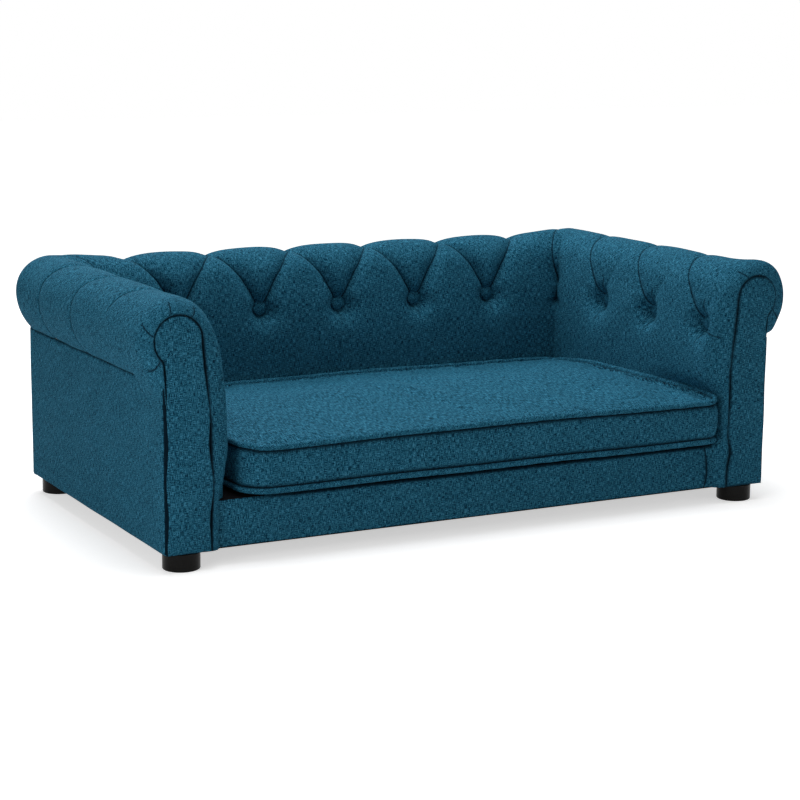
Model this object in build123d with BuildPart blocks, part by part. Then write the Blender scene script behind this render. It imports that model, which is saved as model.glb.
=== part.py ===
from build123d import *
import math
import os

os.makedirs("parts", exist_ok=True)

# A low pet sofa: two rolled arms, a rolled back, a base on four feet and a loose cushion.
# X runs to the right as one faces it, Y to the back, Z up; the origin is under its middle, on the floor.
# Every section of arm and back is drawn in (u, z), where u is the distance out from the middle:
# on an arm u is |x|, on the back u is y + mitre_offset, so both share one section.

# Overall sizes, feet and clearances
overall_width = 1000.0
overall_depth = 562.0
foot_height = 24.0
foot_radius = 25.0
foot_edge = 2.0
foot_inset_u = 33.0
foot_front_inset = 26.0
foot_rear_inset = 24.0
dust_cover_thickness = 0.8
sliding_clear = 0.3
overrun = 1.0
mitre_offset = (overall_width - overall_depth) / 2
frame_bottom_z = foot_height + dust_cover_thickness

# Rolled section of arm and back, with heights taken from the middle of the roll
roll_radius = 53.0
roll_rise = 277.2
roll_overhang = 25.0
arm_thickness = 95.0
face_foam = 29.0
panel_thickness = 5.0
head_radius = 33.0
head_shift = 5.0
head_rise = 1.0
roll_centre_u = overall_width / 2 - roll_radius
roll_centre_z = frame_bottom_z + roll_rise
body_u = overall_width / 2 - roll_overhang
face_u = body_u - arm_thickness
core_u = face_u + face_foam
core_outer_u = body_u - panel_thickness
head_u = roll_centre_u + head_shift
head_z = roll_centre_z + head_rise
core_lean_drop = 112.0
core_tuck_drop = 44.0
core_tuck_angle = 50.0
core_lean_z = roll_centre_z - core_lean_drop
core_tuck_z = roll_centre_z - core_tuck_drop

# Tufting: one row of buttons, pleats that climb from each to the dips in the roll beside it
button_drop = 40.0
button_recess = 25.0
corner_button_set = 5.5
front_button_inset = 56.0
arm_button_count = 3
back_button_count = 5
button_radius = 11.0
button_height = 8.0
button_rim = 3.0
button_clear = 0.5
button_sink = 6.0
pleat_depth = 11.0
pleat_shape = 4
face_straight_drop = 132.0
shoulder_drop = 70.0
shoulder_set = 3.0
pad_seam_drop = 55.0
pad_seam_proud = 1.0
cover_thickness = 2.5
pit_flare_angle = 30.0
mitre_gap = 0.15
front_round = 34.0
front_round_angles = (18.0, 36.0, 54.0, 72.0, 90.0)
pleat_section_shares = (0.0, 0.25, 0.5, 0.75, 1.0)
lip_back = 1.0

# Boards and rails
cushion_proud = 5.0
facing_thickness = 8.0
facing_edge = 2.5
facing_gap = 0.3
rail_cover_edge = 2.0
board_thickness = 10.0
end_board_thickness = 12.0
tuft_board_thickness = 5.0
tuft_board_drop = 24.0
roll_tube_wall = 5.0
bottom_rail_height = 36.0
bottom_rail_inset = 8.0
tack_rail_width = 18.0
tack_rail_height = 20.0
rail_thickness = 18.0
rail_height = 58.0
rail_setback = 11.0
rail_cover_thickness = 3.0
deck_thickness = 5.0
beam_width = 45.0
corner_block_size = 40.0
side_panel_edge = 2.0
side_panel_drop = 1.0

# Fixings
screw_radius = 3.0
screw_in_foot = 14.0
screw_in_rail = 22.0
insert_radius = 5.0
insert_length = 18.0
bolt_radius = 4.0
bolt_head_radius = 7.0
bolt_head_height = 4.0
bolt_length = 62.0
bolt_rise = 23.2
bolt_clear = 0.3
screw_clear = 0.1
fixing_clear = 0.2
nut_clear = 0.1
arm_bolt_inset = 60.0
back_bolt_share = 0.6
joining_bolt_length = 24.0
joining_bolt_low = 75.0
joining_bolt_high = 145.0
nut_radius = 7.0
nut_height = 6.0
twine_radius = 1.0
anchor_radius = 9.0
anchor_thickness = 1.5

# Cushion
cushion_side_gap = 0.5
cushion_rear_gap = 7.0
welt_radius = 3.5
welt_proud = 3.0
cushion_corner = 34.0
draw_in_angle = 1.0
welt_lift = 8.2
boxing_height = 56.0
crown_height = 23.0
crown_end_height = 2.0
bottom_bulge = 22.0
bottom_end_bulge = 1.0
cushion_wrap = 4.0
crown_section_shares = (-1.0, -0.9, -0.6, 0.0, 0.6, 0.9, 1.0)

# Zip in the rear boxing
zip_length = 480.0
zip_tape_height = 24.0
zip_tape_thickness = 1.0
zip_chain_height = 6.0
zip_chain_thickness = 1.6
zip_chain_inset = 5.0
slider_width = 9.0
slider_height = 13.0
slider_wall = 1.5
slider_end_gap = 8.0
ear_width = 1.4
ear_height = 3.4
ear_gap = 3.4
pull_pin_radius = 0.7
pull_pin_clear = 0.1
pull_width = 7.0
pull_length = 22.0
pull_thickness = 1.2

# Places worked out from the sizes above
front_face_y = -overall_depth / 2 + cushion_proud
rear_face_y = body_u - mitre_offset
roll_centre_y = roll_centre_u - mitre_offset
board_front_y = front_face_y + facing_thickness
board_back_y = board_front_y + board_thickness
core_rear_y = core_outer_u - mitre_offset
arm_board_rear_y = core_rear_y - end_board_thickness
rail_face_y = front_face_y + rail_setback
rail_front_y = rail_face_y + rail_cover_thickness
deck_low_z = frame_bottom_z + rail_height
deck_top_z = deck_low_z + deck_thickness
base_half = core_u - sliding_clear
base_rear_y = core_u - mitre_offset - sliding_clear
back_half = core_u
button_z = roll_centre_z - button_drop
shoulder_z = roll_centre_z - shoulder_drop
face_straight_z = roll_centre_z - face_straight_drop
pad_seam_z = roll_centre_z - pad_seam_drop
tuft_board_top_z = roll_centre_z - tuft_board_drop
bolt_z = frame_bottom_z + bolt_rise
neck_u = face_u + button_recess
neck_angle = math.degrees(math.atan2(-button_drop, neck_u - roll_centre_u)) % 360
neck_radius = math.hypot(neck_u - roll_centre_u, button_drop)
valley_radius = roll_radius - pleat_depth
pad_seam_u = body_u + pad_seam_proud
seam_angle = math.degrees(math.atan2(-pad_seam_drop, pad_seam_u - roll_centre_u))
seam_radius = math.hypot(pad_seam_u - roll_centre_u, pad_seam_drop)
core_neck_u = core_u + (button_z - core_lean_z) / (head_z - core_lean_z) * (head_u - head_radius - core_u)
crest_angle = 90.0
corner_button_u = neck_u - corner_button_set
corner_button_y = corner_button_u - mitre_offset
arm_button_front_y = front_face_y + front_button_inset
arm_pitch = (corner_button_y - arm_button_front_y) / arm_button_count
back_pitch = 2 * corner_button_u / (back_button_count + 1)
lean_angle = math.degrees(math.atan2(head_u - head_radius - core_u, head_z - core_lean_z))
button_back_u = neck_u + button_sink
foot_u = body_u - foot_inset_u
foot_front_y = front_face_y + foot_front_inset
foot_rear_y = rear_face_y - foot_rear_inset


standing = (Align.CENTER, Align.CENTER, Align.MIN)
hanging = (Align.CENTER, Align.CENTER, Align.MAX)


def arm_plane(y):
    """Plane across the right arm at y: its own x is u, its own y is up."""
    return Plane(origin=(0, y, 0), x_dir=(1, 0, 0), z_dir=(0, -1, 0))


def back_plane(x):
    """Plane across the back at x: its own x is u, its own y is up."""
    return Plane(origin=(x, -mitre_offset, 0), x_dir=(0, 1, 0), z_dir=(1, 0, 0))


def polar(centre, radius, angle):
    """Point at a radius and an angle in degrees from a centre."""
    turn = math.radians(angle)
    return (centre[0] + radius * math.cos(turn), centre[1] + radius * math.sin(turn))


def between(low, high, share):
    """Point a share of the way from low to high."""
    return (low[0] + share * (high[0] - low[0]), low[1] + share * (high[1] - low[1]))


def draw_scroll(clear):
    """Scroll outline of the boards, grown by clear: straight stem, round head, tuck under the head."""
    radius = head_radius + clear
    head = (head_u, head_z)
    bottom_z = frame_bottom_z - clear
    tuck = polar(head, radius, -core_tuck_angle)
    stem_in = (core_u - clear, core_lean_z)
    left = polar(head, radius, 2 * crest_angle)
    top = polar(head, radius, crest_angle)
    right = polar(head, radius, 0)
    outer = core_outer_u + clear
    Polyline((outer, bottom_z), (core_u - clear, bottom_z), stem_in, left)
    ThreePointArc(left, polar(head, radius, crest_angle * 3 / 2), top)
    ThreePointArc(top, polar(head, radius, crest_angle / 2), right)
    ThreePointArc(right, polar(head, radius, -core_tuck_angle / 2), tuck)
    Polyline(tuck, (outer, core_tuck_z), (outer, bottom_z))


def roll_height(angle, share):
    """Radius of the roll at an angle, a share of the way from a button's plane to a dip's plane.

    Across the top and outside it falls as the square of the share; on the inside it falls to the
    pleat, which climbs from the button to the dip. Past the outermost point it widens to the seam."""
    climb = min((neck_angle - angle) / (neck_angle - crest_angle), 1)
    near = min(share / max(climb, share), 1)
    fade = 1 - min(max(-angle / -seam_angle, 0), 1) ** 2
    widen = (seam_radius - roll_radius) * min(max(angle / seam_angle, 0), 1) ** 2
    return roll_radius + widen - pleat_depth * near**2 * fade


def draw_pad(share, fill, inset, hem):
    """Closed outline of the padded section.

    share runs from 0 at a button to 1 at a dip, fill thins the pad towards the boards, inset draws
    the fabric line in, and hem raises its lower edges. The part inside the boards is cut out later."""
    centre = between((head_u, head_z), (roll_centre_u, roll_centre_z), fill)
    face = core_u - fill * face_foam + inset
    bottom = (face, frame_bottom_z + hem)
    straight = (face, face_straight_z)
    shoulder = (face + fill * shoulder_set, shoulder_z)
    angle = neck_angle - share * (neck_angle - crest_angle)
    pleat_radius = valley_radius + (neck_radius - valley_radius) * (1 - share) ** pleat_shape
    full_pleat = polar((roll_centre_u, roll_centre_z), pleat_radius - inset, angle)
    pleat = between((core_neck_u, button_z), full_pleat, fill)
    start = math.degrees(math.atan2(pleat[1] - centre[1], pleat[0] - centre[0])) % 360
    seam = between((core_outer_u, pad_seam_z), (pad_seam_u - inset, pad_seam_z), fill)
    seam = (seam[0], seam[1] + hem)
    end = math.degrees(math.atan2(seam[1] - centre[1], seam[0] - centre[0]))
    points = [pleat]
    for step in range(1, 6):
        around = start + (end - start) * step / 6
        full = roll_height(around, share)
        points.append(polar(centre, head_radius + fill * (full - head_radius) - inset, around))
    points.append(seam)
    Line(bottom, straight)
    lower = TangentArc(straight, shoulder, tangent=(0, 1))
    TangentArc(shoulder, pleat, tangent=lower % 1)
    for first in (0, 2, 4):
        ThreePointArc(points[first], points[first + 1], points[first + 2])
    inner_u = (core_u + core_outer_u) / 2
    Polyline(seam, (inner_u, seam[1]), (inner_u, bottom[1]), bottom)


def pad_section(plane, share, fill, inset, hem):
    """One padded section as a face on its plane."""
    with BuildSketch(plane) as section:
        with BuildLine():
            draw_pad(share, fill, inset, hem)
        make_face()
    return section.sketch


def pad_run(plane_at, places, inset, hem):
    """Loft one stretch of padding through its places, each a position, a share and a fill."""
    loft([pad_section(plane_at(position), share, fill, inset, hem) for position, share, fill in places])


def tuft_run(plane_at, button_at, valley_at, inset, hem):
    """Loft from a button's plane to the plane of the dip beside it."""
    places = [(button_at + (valley_at - button_at) * share, share, 1) for share in pleat_section_shares]
    pad_run(plane_at, places, inset, hem)


def straight_run(plane_at, low, high, inset, hem):
    """The button's section carried straight on, for the mitred corner."""
    pad_run(plane_at, [(low, 0, 1), (high, 0, 1)], inset, hem)


def corner_ball(plane, arc, inset, hem):
    """Outer half of the roll turned through half a corner about the crossing of the rolls."""
    centre = (roll_centre_u, roll_centre_z)
    radius = roll_radius - inset
    seam = (pad_seam_u - inset, pad_seam_z + hem)
    middle_angle = seam_angle / 2
    with BuildSketch(plane) as section:
        with BuildLine():
            ThreePointArc(polar(centre, radius, crest_angle), polar(centre, radius, crest_angle / 2),
                          polar(centre, radius, 0))
            ThreePointArc(polar(centre, radius, 0),
                          polar(centre, roll_height(middle_angle, 0) - inset, middle_angle), seam)
            Polyline(seam, (roll_centre_u, seam[1]), polar(centre, radius, crest_angle))
        make_face()
    crossing = Axis((roll_centre_u, roll_centre_y, 0), (0, 0, 1))
    revolve(section.sketch, axis=crossing, revolution_arc=arc)


def arm_padding(inset, hem, gap):
    """Right arm's padding, uncut by the boards."""
    with BuildPart() as padding:
        front_y = front_face_y + lip_back + inset
        turns = [math.radians(angle) for angle in front_round_angles]
        ahead = [front_round * (math.cos(turns[0]) - math.cos(turn)) for turn in turns]
        rounds = [(front_y + step, 0, math.sin(turn)) for step, turn in zip(ahead, turns)]
        pad_run(arm_plane, rounds, inset, hem)
        straight_run(arm_plane, rounds[-1][0], arm_button_front_y, inset, hem)
        for index in range(arm_button_count):
            button_y = arm_button_front_y + index * arm_pitch
            tuft_run(arm_plane, button_y, button_y + arm_pitch / 2, inset, hem)
            tuft_run(arm_plane, button_y + arm_pitch, button_y + arm_pitch / 2, inset, hem)
        straight_run(arm_plane, corner_button_y, overall_depth / 2, inset, hem)
        mitre = Plane(origin=(roll_centre_u + gap, roll_centre_y, 0), z_dir=(-1, 1, 0))
        split(bisect_by=mitre, keep=Keep.BOTTOM)
        with BuildSketch(Plane.XY):
            with Locations((roll_centre_u, roll_centre_y)):
                Rectangle(roll_radius * 2, roll_radius * 2, align=(Align.MIN, Align.MIN))
        extrude(amount=overall_width, mode=Mode.SUBTRACT)
        corner_ball(arm_plane(roll_centre_y), crest_angle / 2, inset, hem)
    return padding.part


def back_padding(inset, hem, gap):
    """Back's padding, uncut by the boards: the right half, then its mirror image."""
    with BuildPart() as half:
        for index in range(back_button_count // 2 + 1):
            button_x = index * back_pitch
            tuft_run(back_plane, button_x, button_x + back_pitch / 2, inset, hem)
            tuft_run(back_plane, button_x + back_pitch, button_x + back_pitch / 2, inset, hem)
        straight_run(back_plane, corner_button_u, overall_width / 2, inset, hem)
        mitre = Plane(origin=(roll_centre_u - gap, roll_centre_y, 0), z_dir=(1, -1, 0))
        split(bisect_by=mitre, keep=Keep.BOTTOM)
        with BuildSketch(Plane.XY):
            with Locations((roll_centre_u, roll_centre_y)):
                Rectangle(roll_radius * 2, roll_radius * 2, align=(Align.MIN, Align.MIN))
        extrude(amount=overall_width, mode=Mode.SUBTRACT)
        corner_ball(back_plane(roll_centre_u), -crest_angle / 2, inset, hem)
        mirror(about=Plane.YZ)
    return half.part


def scroll_face(plane, clear):
    """The boards' scroll outline as a face on a plane, grown by clear."""
    with BuildSketch(plane) as section:
        with BuildLine():
            draw_scroll(clear)
        make_face()
    return section.sketch


def button_places():
    """Planes at the backs of the buttons: back, right arm and right corner, facing the seat."""
    lean = math.radians(lean_angle)
    flat = math.cos(lean)
    rise = math.sin(lean)
    diagonal = flat / math.sqrt(2)
    back_y = button_back_u - mitre_offset
    first = -(back_button_count // 2)
    back = [Plane(origin=(index * back_pitch, back_y, button_z), x_dir=(1, 0, 0), z_dir=(0, -flat, rise))
            for index in range(first, first + back_button_count)]
    arm = [Plane(origin=(button_back_u, arm_button_front_y + index * arm_pitch, button_z), x_dir=(0, 1, 0),
                 z_dir=(-flat, 0, rise)) for index in range(arm_button_count)]
    corner = [Plane(origin=(neck_u, neck_u - mitre_offset, button_z), x_dir=(1, -1, 0),
                    z_dir=(-diagonal, -diagonal, rise))]
    return back, arm, corner


back_places, arm_places, corner_places = button_places()


def pits(grow):
    """Funnels that all the buttons sit in."""
    slope = math.radians(pit_flare_angle)
    depth = button_back_u - face_u + overrun + grow
    low = button_radius + button_clear + grow / math.cos(slope) - grow * math.tan(slope)
    with BuildPart() as funnels:
        with Locations(*[place.offset(-grow) for place in arm_places + corner_places]):
            Cone(low, low + depth * math.tan(slope), depth, align=standing)
        mirror(about=Plane.YZ)
        with Locations(*[place.offset(-grow) for place in back_places]):
            Cone(low, low + depth * math.tan(slope), depth, align=standing)
    return funnels.part


def twine_lines(radius, spare):
    """Straight lines that run back from the buttons: through the board, or at a corner up to it."""
    with BuildPart() as lines:
        for places, length in ((arm_places, twine_length), (corner_places, corner_twine_length)):
            with Locations(*[place.offset(-length - spare) for place in places]):
                Cylinder(radius, length + spare, align=standing)
        mirror(about=Plane.YZ)
        with Locations(*[place.offset(-twine_length - spare) for place in back_places]):
            Cylinder(radius, twine_length + spare, align=standing)
    return lines.part


# Space that boards and base take out of the padding
with BuildPart() as arm_space:
    extrude(scroll_face(arm_plane(core_rear_y + sliding_clear), sliding_clear),
            amount=core_rear_y + sliding_clear - front_face_y + overrun)
with BuildPart() as board_space:
    extrude(scroll_face(back_plane(-back_half - sliding_clear), sliding_clear),
            amount=2 * (back_half + sliding_clear))
    base_space_depth = core_u - mitre_offset - rail_face_y + sliding_clear
    with BuildSketch(Plane.XY):
        with Locations((0, rail_face_y - sliding_clear)):
            Rectangle(2 * core_u, base_space_depth, align=(Align.CENTER, Align.MIN))
    extrude(amount=deck_top_z + sliding_clear)
    add(arm_space.part)
    add(mirror(arm_space.part, about=Plane.YZ, mode=Mode.PRIVATE))

twine_length = core_neck_u + tuft_board_thickness + overrun - button_back_u
corner_twine_length = (core_neck_u - neck_u) * math.sqrt(2) - twine_radius - sliding_clear
twine_space = twine_lines(twine_radius + sliding_clear, overrun)
foam_inset = cover_thickness + sliding_clear
cover_pits = pits(0)
void_pits = pits(cover_thickness)
foam_pits = pits(foam_inset)


def finish(built, name):
    """Label a built piece and write it under its name."""
    built.part.label = name
    export_step(built.part, f"parts/{name}.step")


def export_pair(built, name):
    """Write a right-hand piece and its mirror image on the left."""
    finish(built, f"{name}_right")
    with BuildPart() as twin:
        mirror(built.part, about=Plane.YZ)
    finish(twin, f"{name}_left")


def padded(make, write, name):
    """Cover and foam of one padded run: the cover is a shell over the foam, both open to the boards."""
    with BuildPart() as void:
        add(make(cover_thickness, -overrun, 0))
        add(void_pits, mode=Mode.SUBTRACT)
    with BuildPart() as cover:
        add(make(0, 0, mitre_gap))
        add(cover_pits, mode=Mode.SUBTRACT)
        add(void.part, mode=Mode.SUBTRACT)
        add(board_space.part, mode=Mode.SUBTRACT)
        add(twine_space, mode=Mode.SUBTRACT)
    write(cover, f"{name}_cover")
    with BuildPart() as foam:
        add(make(foam_inset, sliding_clear, mitre_gap))
        add(foam_pits, mode=Mode.SUBTRACT)
        add(board_space.part, mode=Mode.SUBTRACT)
        add(twine_space, mode=Mode.SUBTRACT)
    write(foam, f"{name}_foam")


padded(arm_padding, export_pair, "arm")
padded(back_padding, finish, "back")


# Covered buttons: a flat back, a short rim and a domed front
with BuildPart() as button:
    with BuildSketch(Plane.XZ):
        with BuildLine():
            Polyline((0, button_height), (0, 0), (button_radius, 0), (button_radius, button_rim))
            TangentArc((0, button_height), (button_radius, button_rim), tangent=(1, 0))
        make_face()
    revolve(axis=Axis.Z)

with BuildPart() as back_buttons:
    with Locations(*back_places):
        add(button.part)
finish(back_buttons, "back_buttons")

with BuildPart() as arm_buttons:
    with Locations(*arm_places):
        add(button.part)
export_pair(arm_buttons, "arm_buttons")

with BuildPart() as corner_buttons:
    with Locations(*corner_places):
        add(button.part)
    mirror(about=Plane.YZ)
finish(corner_buttons, "corner_buttons")

# Twines hold the buttons down; each ends behind the tuft board in a washer
with BuildPart() as button_twines:
    add(twine_lines(twine_radius, 0))
finish(button_twines, "button_twines")

with BuildPart() as twine_anchors:
    with Locations(*[place.offset(-twine_length) for place in arm_places]):
        Cylinder(anchor_radius, anchor_thickness, align=hanging)
    mirror(about=Plane.YZ)
    with Locations(*[place.offset(-twine_length) for place in back_places]):
        Cylinder(anchor_radius, anchor_thickness, align=hanging)
finish(twine_anchors, "twine_anchors")


# Arm boards: scroll outline front and rear, facing in front
with BuildPart() as arm_facing:
    extrude(scroll_face(arm_plane(board_front_y), -facing_gap), amount=facing_thickness)
    fillet(arm_facing.faces().sort_by(Axis.Y)[0].edges(), facing_edge)
export_pair(arm_facing, "arm_facing")

with BuildPart() as arm_front_board:
    extrude(scroll_face(arm_plane(board_back_y), 0), amount=board_thickness)
export_pair(arm_front_board, "arm_front_board")

with BuildPart() as arm_rear_board:
    extrude(scroll_face(arm_plane(core_rear_y), 0), amount=end_board_thickness)
export_pair(arm_rear_board, "arm_rear_board")

arm_run = arm_board_rear_y - board_back_y
back_run = 2 * (back_half - end_board_thickness)


def tuft_board_face(plane):
    """Section of the tuft board: upright below, leaning back above, with the boards' inner outline."""
    lean = math.tan(math.radians(lean_angle))
    top_u = core_u + (tuft_board_top_z - core_lean_z) * lean
    with BuildSketch(plane) as section:
        with BuildLine():
            Polyline((core_u, frame_bottom_z), (core_u, core_lean_z), (top_u, tuft_board_top_z),
                     (top_u + tuft_board_thickness, tuft_board_top_z),
                     (core_u + tuft_board_thickness, core_lean_z),
                     (core_u + tuft_board_thickness, frame_bottom_z), close=True)
        make_face()
    return section.sketch


def rail_face(plane, low_u, high_u, low_z, high_z):
    """Upright rectangle in the (u, z) section."""
    with BuildSketch(plane) as section:
        with Locations(((low_u + high_u) / 2, (low_z + high_z) / 2)):
            Rectangle(high_u - low_u, high_z - low_z)
    return section.sketch


def tube_face(plane):
    """Ring section of the roll tube."""
    with BuildSketch(plane) as section:
        with Locations((head_u, head_z)):
            Circle(head_radius)
            Circle(head_radius - roll_tube_wall, mode=Mode.SUBTRACT)
    return section.sketch


bottom_rail_sides = (core_u + tuft_board_thickness, core_outer_u - bottom_rail_inset)
bottom_rail_ends = (frame_bottom_z, frame_bottom_z + bottom_rail_height)
tack_rail_sides = (core_outer_u - tack_rail_width, core_outer_u)
tack_rail_ends = (core_tuck_z - tack_rail_height, core_tuck_z)
side_rail_u = base_half - rail_thickness
rail_back_y = rail_front_y + rail_thickness
rear_rail_y = base_rear_y - rail_thickness
back_bolt_x = back_bolt_share * base_half
joining_bolt_y = (core_u - mitre_offset + core_rear_y) / 2
base_bolt_places = [Plane(origin=(side_rail_u, y, bolt_z), z_dir=(1, 0, 0))
                    for y in (rail_back_y + arm_bolt_inset, rear_rail_y - arm_bolt_inset)]
back_bolt_places = [Plane(origin=(x, rear_rail_y, bolt_z), z_dir=(0, 1, 0))
                    for x in (-back_bolt_x, back_bolt_x)]
joining_head_u = back_half - end_board_thickness
joining_bolt_places = [Plane(origin=(joining_head_u, joining_bolt_y, frame_bottom_z + rise), z_dir=(1, 0, 0))
                       for rise in (joining_bolt_low, joining_bolt_high)]


def bolts(places, radius, length):
    """Shanks, or the holes for them, that run on from the places of the bolt heads."""
    with BuildPart() as shanks:
        with Locations(*places):
            Cylinder(radius, length, align=standing)
    return shanks.part


hole_radius = bolt_radius + bolt_clear
base_bolt_space = bolts(base_bolt_places + back_bolt_places, hole_radius, bolt_length + overrun)
joining_bolt_space = bolts(joining_bolt_places, hole_radius, joining_bolt_length)
with BuildPart() as insert_space:
    with Locations(*[(foot_u, y, frame_bottom_z) for y in (foot_front_y, foot_rear_y)]):
        Cylinder(insert_radius + fixing_clear, insert_length + fixing_clear, align=standing)
        Cylinder(screw_radius + fixing_clear, screw_in_rail + overrun, align=standing)

# Arm frame between its boards
with BuildPart() as arm_bottom_rail:
    extrude(rail_face(arm_plane(arm_board_rear_y), *bottom_rail_sides, *bottom_rail_ends), amount=arm_run)
    add(base_bolt_space, mode=Mode.SUBTRACT)
    add(insert_space.part, mode=Mode.SUBTRACT)
export_pair(arm_bottom_rail, "arm_bottom_rail")

with BuildPart() as arm_tuft_board:
    extrude(tuft_board_face(arm_plane(arm_board_rear_y)), amount=arm_run)
    add(base_bolt_space, mode=Mode.SUBTRACT)
    add(joining_bolt_space, mode=Mode.SUBTRACT)
    add(twine_space, mode=Mode.SUBTRACT)
export_pair(arm_tuft_board, "arm_tuft_board")

with BuildPart() as arm_roll_tube:
    extrude(tube_face(arm_plane(arm_board_rear_y)), amount=arm_run)
export_pair(arm_roll_tube, "arm_roll_tube")

with BuildPart() as arm_tack_rails:
    extrude(rail_face(arm_plane(arm_board_rear_y), *tack_rail_sides, *tack_rail_ends), amount=arm_run)
    mirror(about=Plane.YZ)
finish(arm_tack_rails, "arm_tack_rails")

# Back frame: an end board against each arm, rails, tuft board and tube between them
with BuildPart() as back_end_board:
    extrude(scroll_face(back_plane(back_half - end_board_thickness), 0), amount=end_board_thickness)
    add(joining_bolt_space, mode=Mode.SUBTRACT)
export_pair(back_end_board, "back_end_board")

back_frame_plane = back_plane(-back_run / 2)
with BuildPart() as back_bottom_rail:
    extrude(rail_face(back_frame_plane, *bottom_rail_sides, *bottom_rail_ends), amount=back_run)
    add(base_bolt_space, mode=Mode.SUBTRACT)
finish(back_bottom_rail, "back_bottom_rail")

with BuildPart() as back_tuft_board:
    extrude(tuft_board_face(back_frame_plane), amount=back_run)
    add(base_bolt_space, mode=Mode.SUBTRACT)
    add(twine_space, mode=Mode.SUBTRACT)
finish(back_tuft_board, "back_tuft_board")

with BuildPart() as back_roll_tube:
    extrude(tube_face(back_frame_plane), amount=back_run)
finish(back_roll_tube, "back_roll_tube")

with BuildPart() as back_tack_rail:
    extrude(rail_face(back_frame_plane, *tack_rail_sides, *tack_rail_ends), amount=back_run)
finish(back_tack_rail, "back_tack_rail")

# Outside panels: fabric over board, stapled below the roll
panel_top_z = pad_seam_z - side_panel_drop
panel_low_u = core_outer_u + sliding_clear
with BuildPart() as side_panel:
    side_panel_front_y = front_face_y + lip_back
    extrude(rail_face(arm_plane(rear_face_y), panel_low_u, body_u, frame_bottom_z, panel_top_z),
            amount=rear_face_y - side_panel_front_y)
    fillet(side_panel.faces().sort_by(Axis.X)[-1].edges(), side_panel_edge)
export_pair(side_panel, "side_panel")

with BuildPart() as back_panel:
    extrude(rail_face(back_plane(-core_outer_u), panel_low_u, body_u, frame_bottom_z, panel_top_z),
            amount=2 * core_outer_u)
    fillet(back_panel.faces().sort_by(Axis.Y)[-1].edges(), side_panel_edge)
finish(back_panel, "back_panel")


def slab(low, high):
    """Box between two corners."""
    size = [high[axis] - low[axis] for axis in range(3)]
    with BuildPart() as block:
        with Locations(tuple((low[axis] + high[axis]) / 2 for axis in range(3))):
            Box(*size)
    return block.part


# Base between the arms
with BuildPart() as base_front_rail:
    add(slab((-base_half, rail_front_y, frame_bottom_z), (base_half, rail_back_y, deck_low_z)))
finish(base_front_rail, "base_front_rail")

with BuildPart() as base_rear_rail:
    add(slab((-base_half, rear_rail_y, frame_bottom_z), (base_half, base_rear_y, deck_low_z)))
    add(base_bolt_space, mode=Mode.SUBTRACT)
finish(base_rear_rail, "base_rear_rail")

with BuildPart() as base_side_rail:
    add(slab((side_rail_u, rail_back_y, frame_bottom_z), (base_half, rear_rail_y, deck_low_z)))
    add(base_bolt_space, mode=Mode.SUBTRACT)
export_pair(base_side_rail, "base_side_rail")

with BuildPart() as base_centre_beam:
    add(slab((-beam_width / 2, rail_back_y, frame_bottom_z), (beam_width / 2, rear_rail_y, deck_low_z)))
finish(base_centre_beam, "base_centre_beam")

with BuildPart() as base_corner_blocks:
    with BuildSketch(Plane.XY.offset(frame_bottom_z)):
        for corner_y, inward in ((rail_back_y, corner_block_size), (rear_rail_y, -corner_block_size)):
            for side in (-1, 1):
                corner_x = side * side_rail_u
                Polygon((corner_x, corner_y), (corner_x, corner_y + inward),
                        (corner_x - side * corner_block_size, corner_y), align=None)
    extrude(amount=rail_height)
finish(base_corner_blocks, "base_corner_blocks")

with BuildPart() as deck_board:
    add(slab((-base_half, rail_front_y, deck_low_z), (base_half, base_rear_y, deck_top_z)))
finish(deck_board, "deck_board")

with BuildPart() as front_rail_cover:
    add(slab((-base_half, rail_face_y, frame_bottom_z), (base_half, rail_front_y, deck_top_z)))
    fillet(front_rail_cover.edges().filter_by(Axis.X).group_by(Axis.Y)[0], rail_cover_edge)
finish(front_rail_cover, "front_rail_cover")

with BuildPart() as dust_cover:
    add(slab((-core_outer_u, rail_face_y, foot_height), (core_outer_u, core_rear_y, frame_bottom_z)))
    with Locations(*[(side * foot_u, y, foot_height)
                     for side in (-1, 1) for y in (foot_front_y, foot_rear_y)]):
        Cylinder(screw_radius + fixing_clear, foot_height, mode=Mode.SUBTRACT)
finish(dust_cover, "dust_cover")


# Bolts: base to arms and back, back to arms
def headed_bolts(places, length):
    """Round-headed bolts with their heads on the near side of their places."""
    with BuildPart() as screws:
        with Locations(*places):
            Cylinder(bolt_radius, length, align=standing)
            Cylinder(bolt_head_radius, bolt_head_height, align=hanging)
    return screws.part


with BuildPart() as base_bolts:
    add(headed_bolts(base_bolt_places, bolt_length))
    mirror(about=Plane.YZ)
    add(headed_bolts(back_bolt_places, bolt_length))
finish(base_bolts, "base_bolts")

with BuildPart() as joining_bolts:
    add(headed_bolts(joining_bolt_places, joining_bolt_length))
    mirror(about=Plane.YZ)
finish(joining_bolts, "joining_bolts")

nut_places = [place.offset(end_board_thickness + tuft_board_thickness) for place in joining_bolt_places]
with BuildPart() as joining_nuts:
    with BuildSketch(*nut_places):
        RegularPolygon(nut_radius, 6)
        Circle(bolt_radius + nut_clear, mode=Mode.SUBTRACT)
    extrude(amount=nut_height)
    mirror(about=Plane.YZ)
finish(joining_nuts, "joining_nuts")

# Feet, each on a screw that turns into an insert in the arm's bottom rail
screw_low_z = foot_height - screw_in_foot
for end, y in (("front", foot_front_y), ("rear", foot_rear_y)):
    with BuildPart() as foot:
        with Locations((foot_u, y)):
            Cylinder(foot_radius, foot_height, align=standing)
        fillet(foot.edges().filter_by(GeomType.CIRCLE), foot_edge)
        with Locations((foot_u, y, screw_low_z)):
            Cylinder(screw_radius + screw_clear, screw_in_foot, align=standing, mode=Mode.SUBTRACT)
    export_pair(foot, f"foot_{end}")

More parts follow.
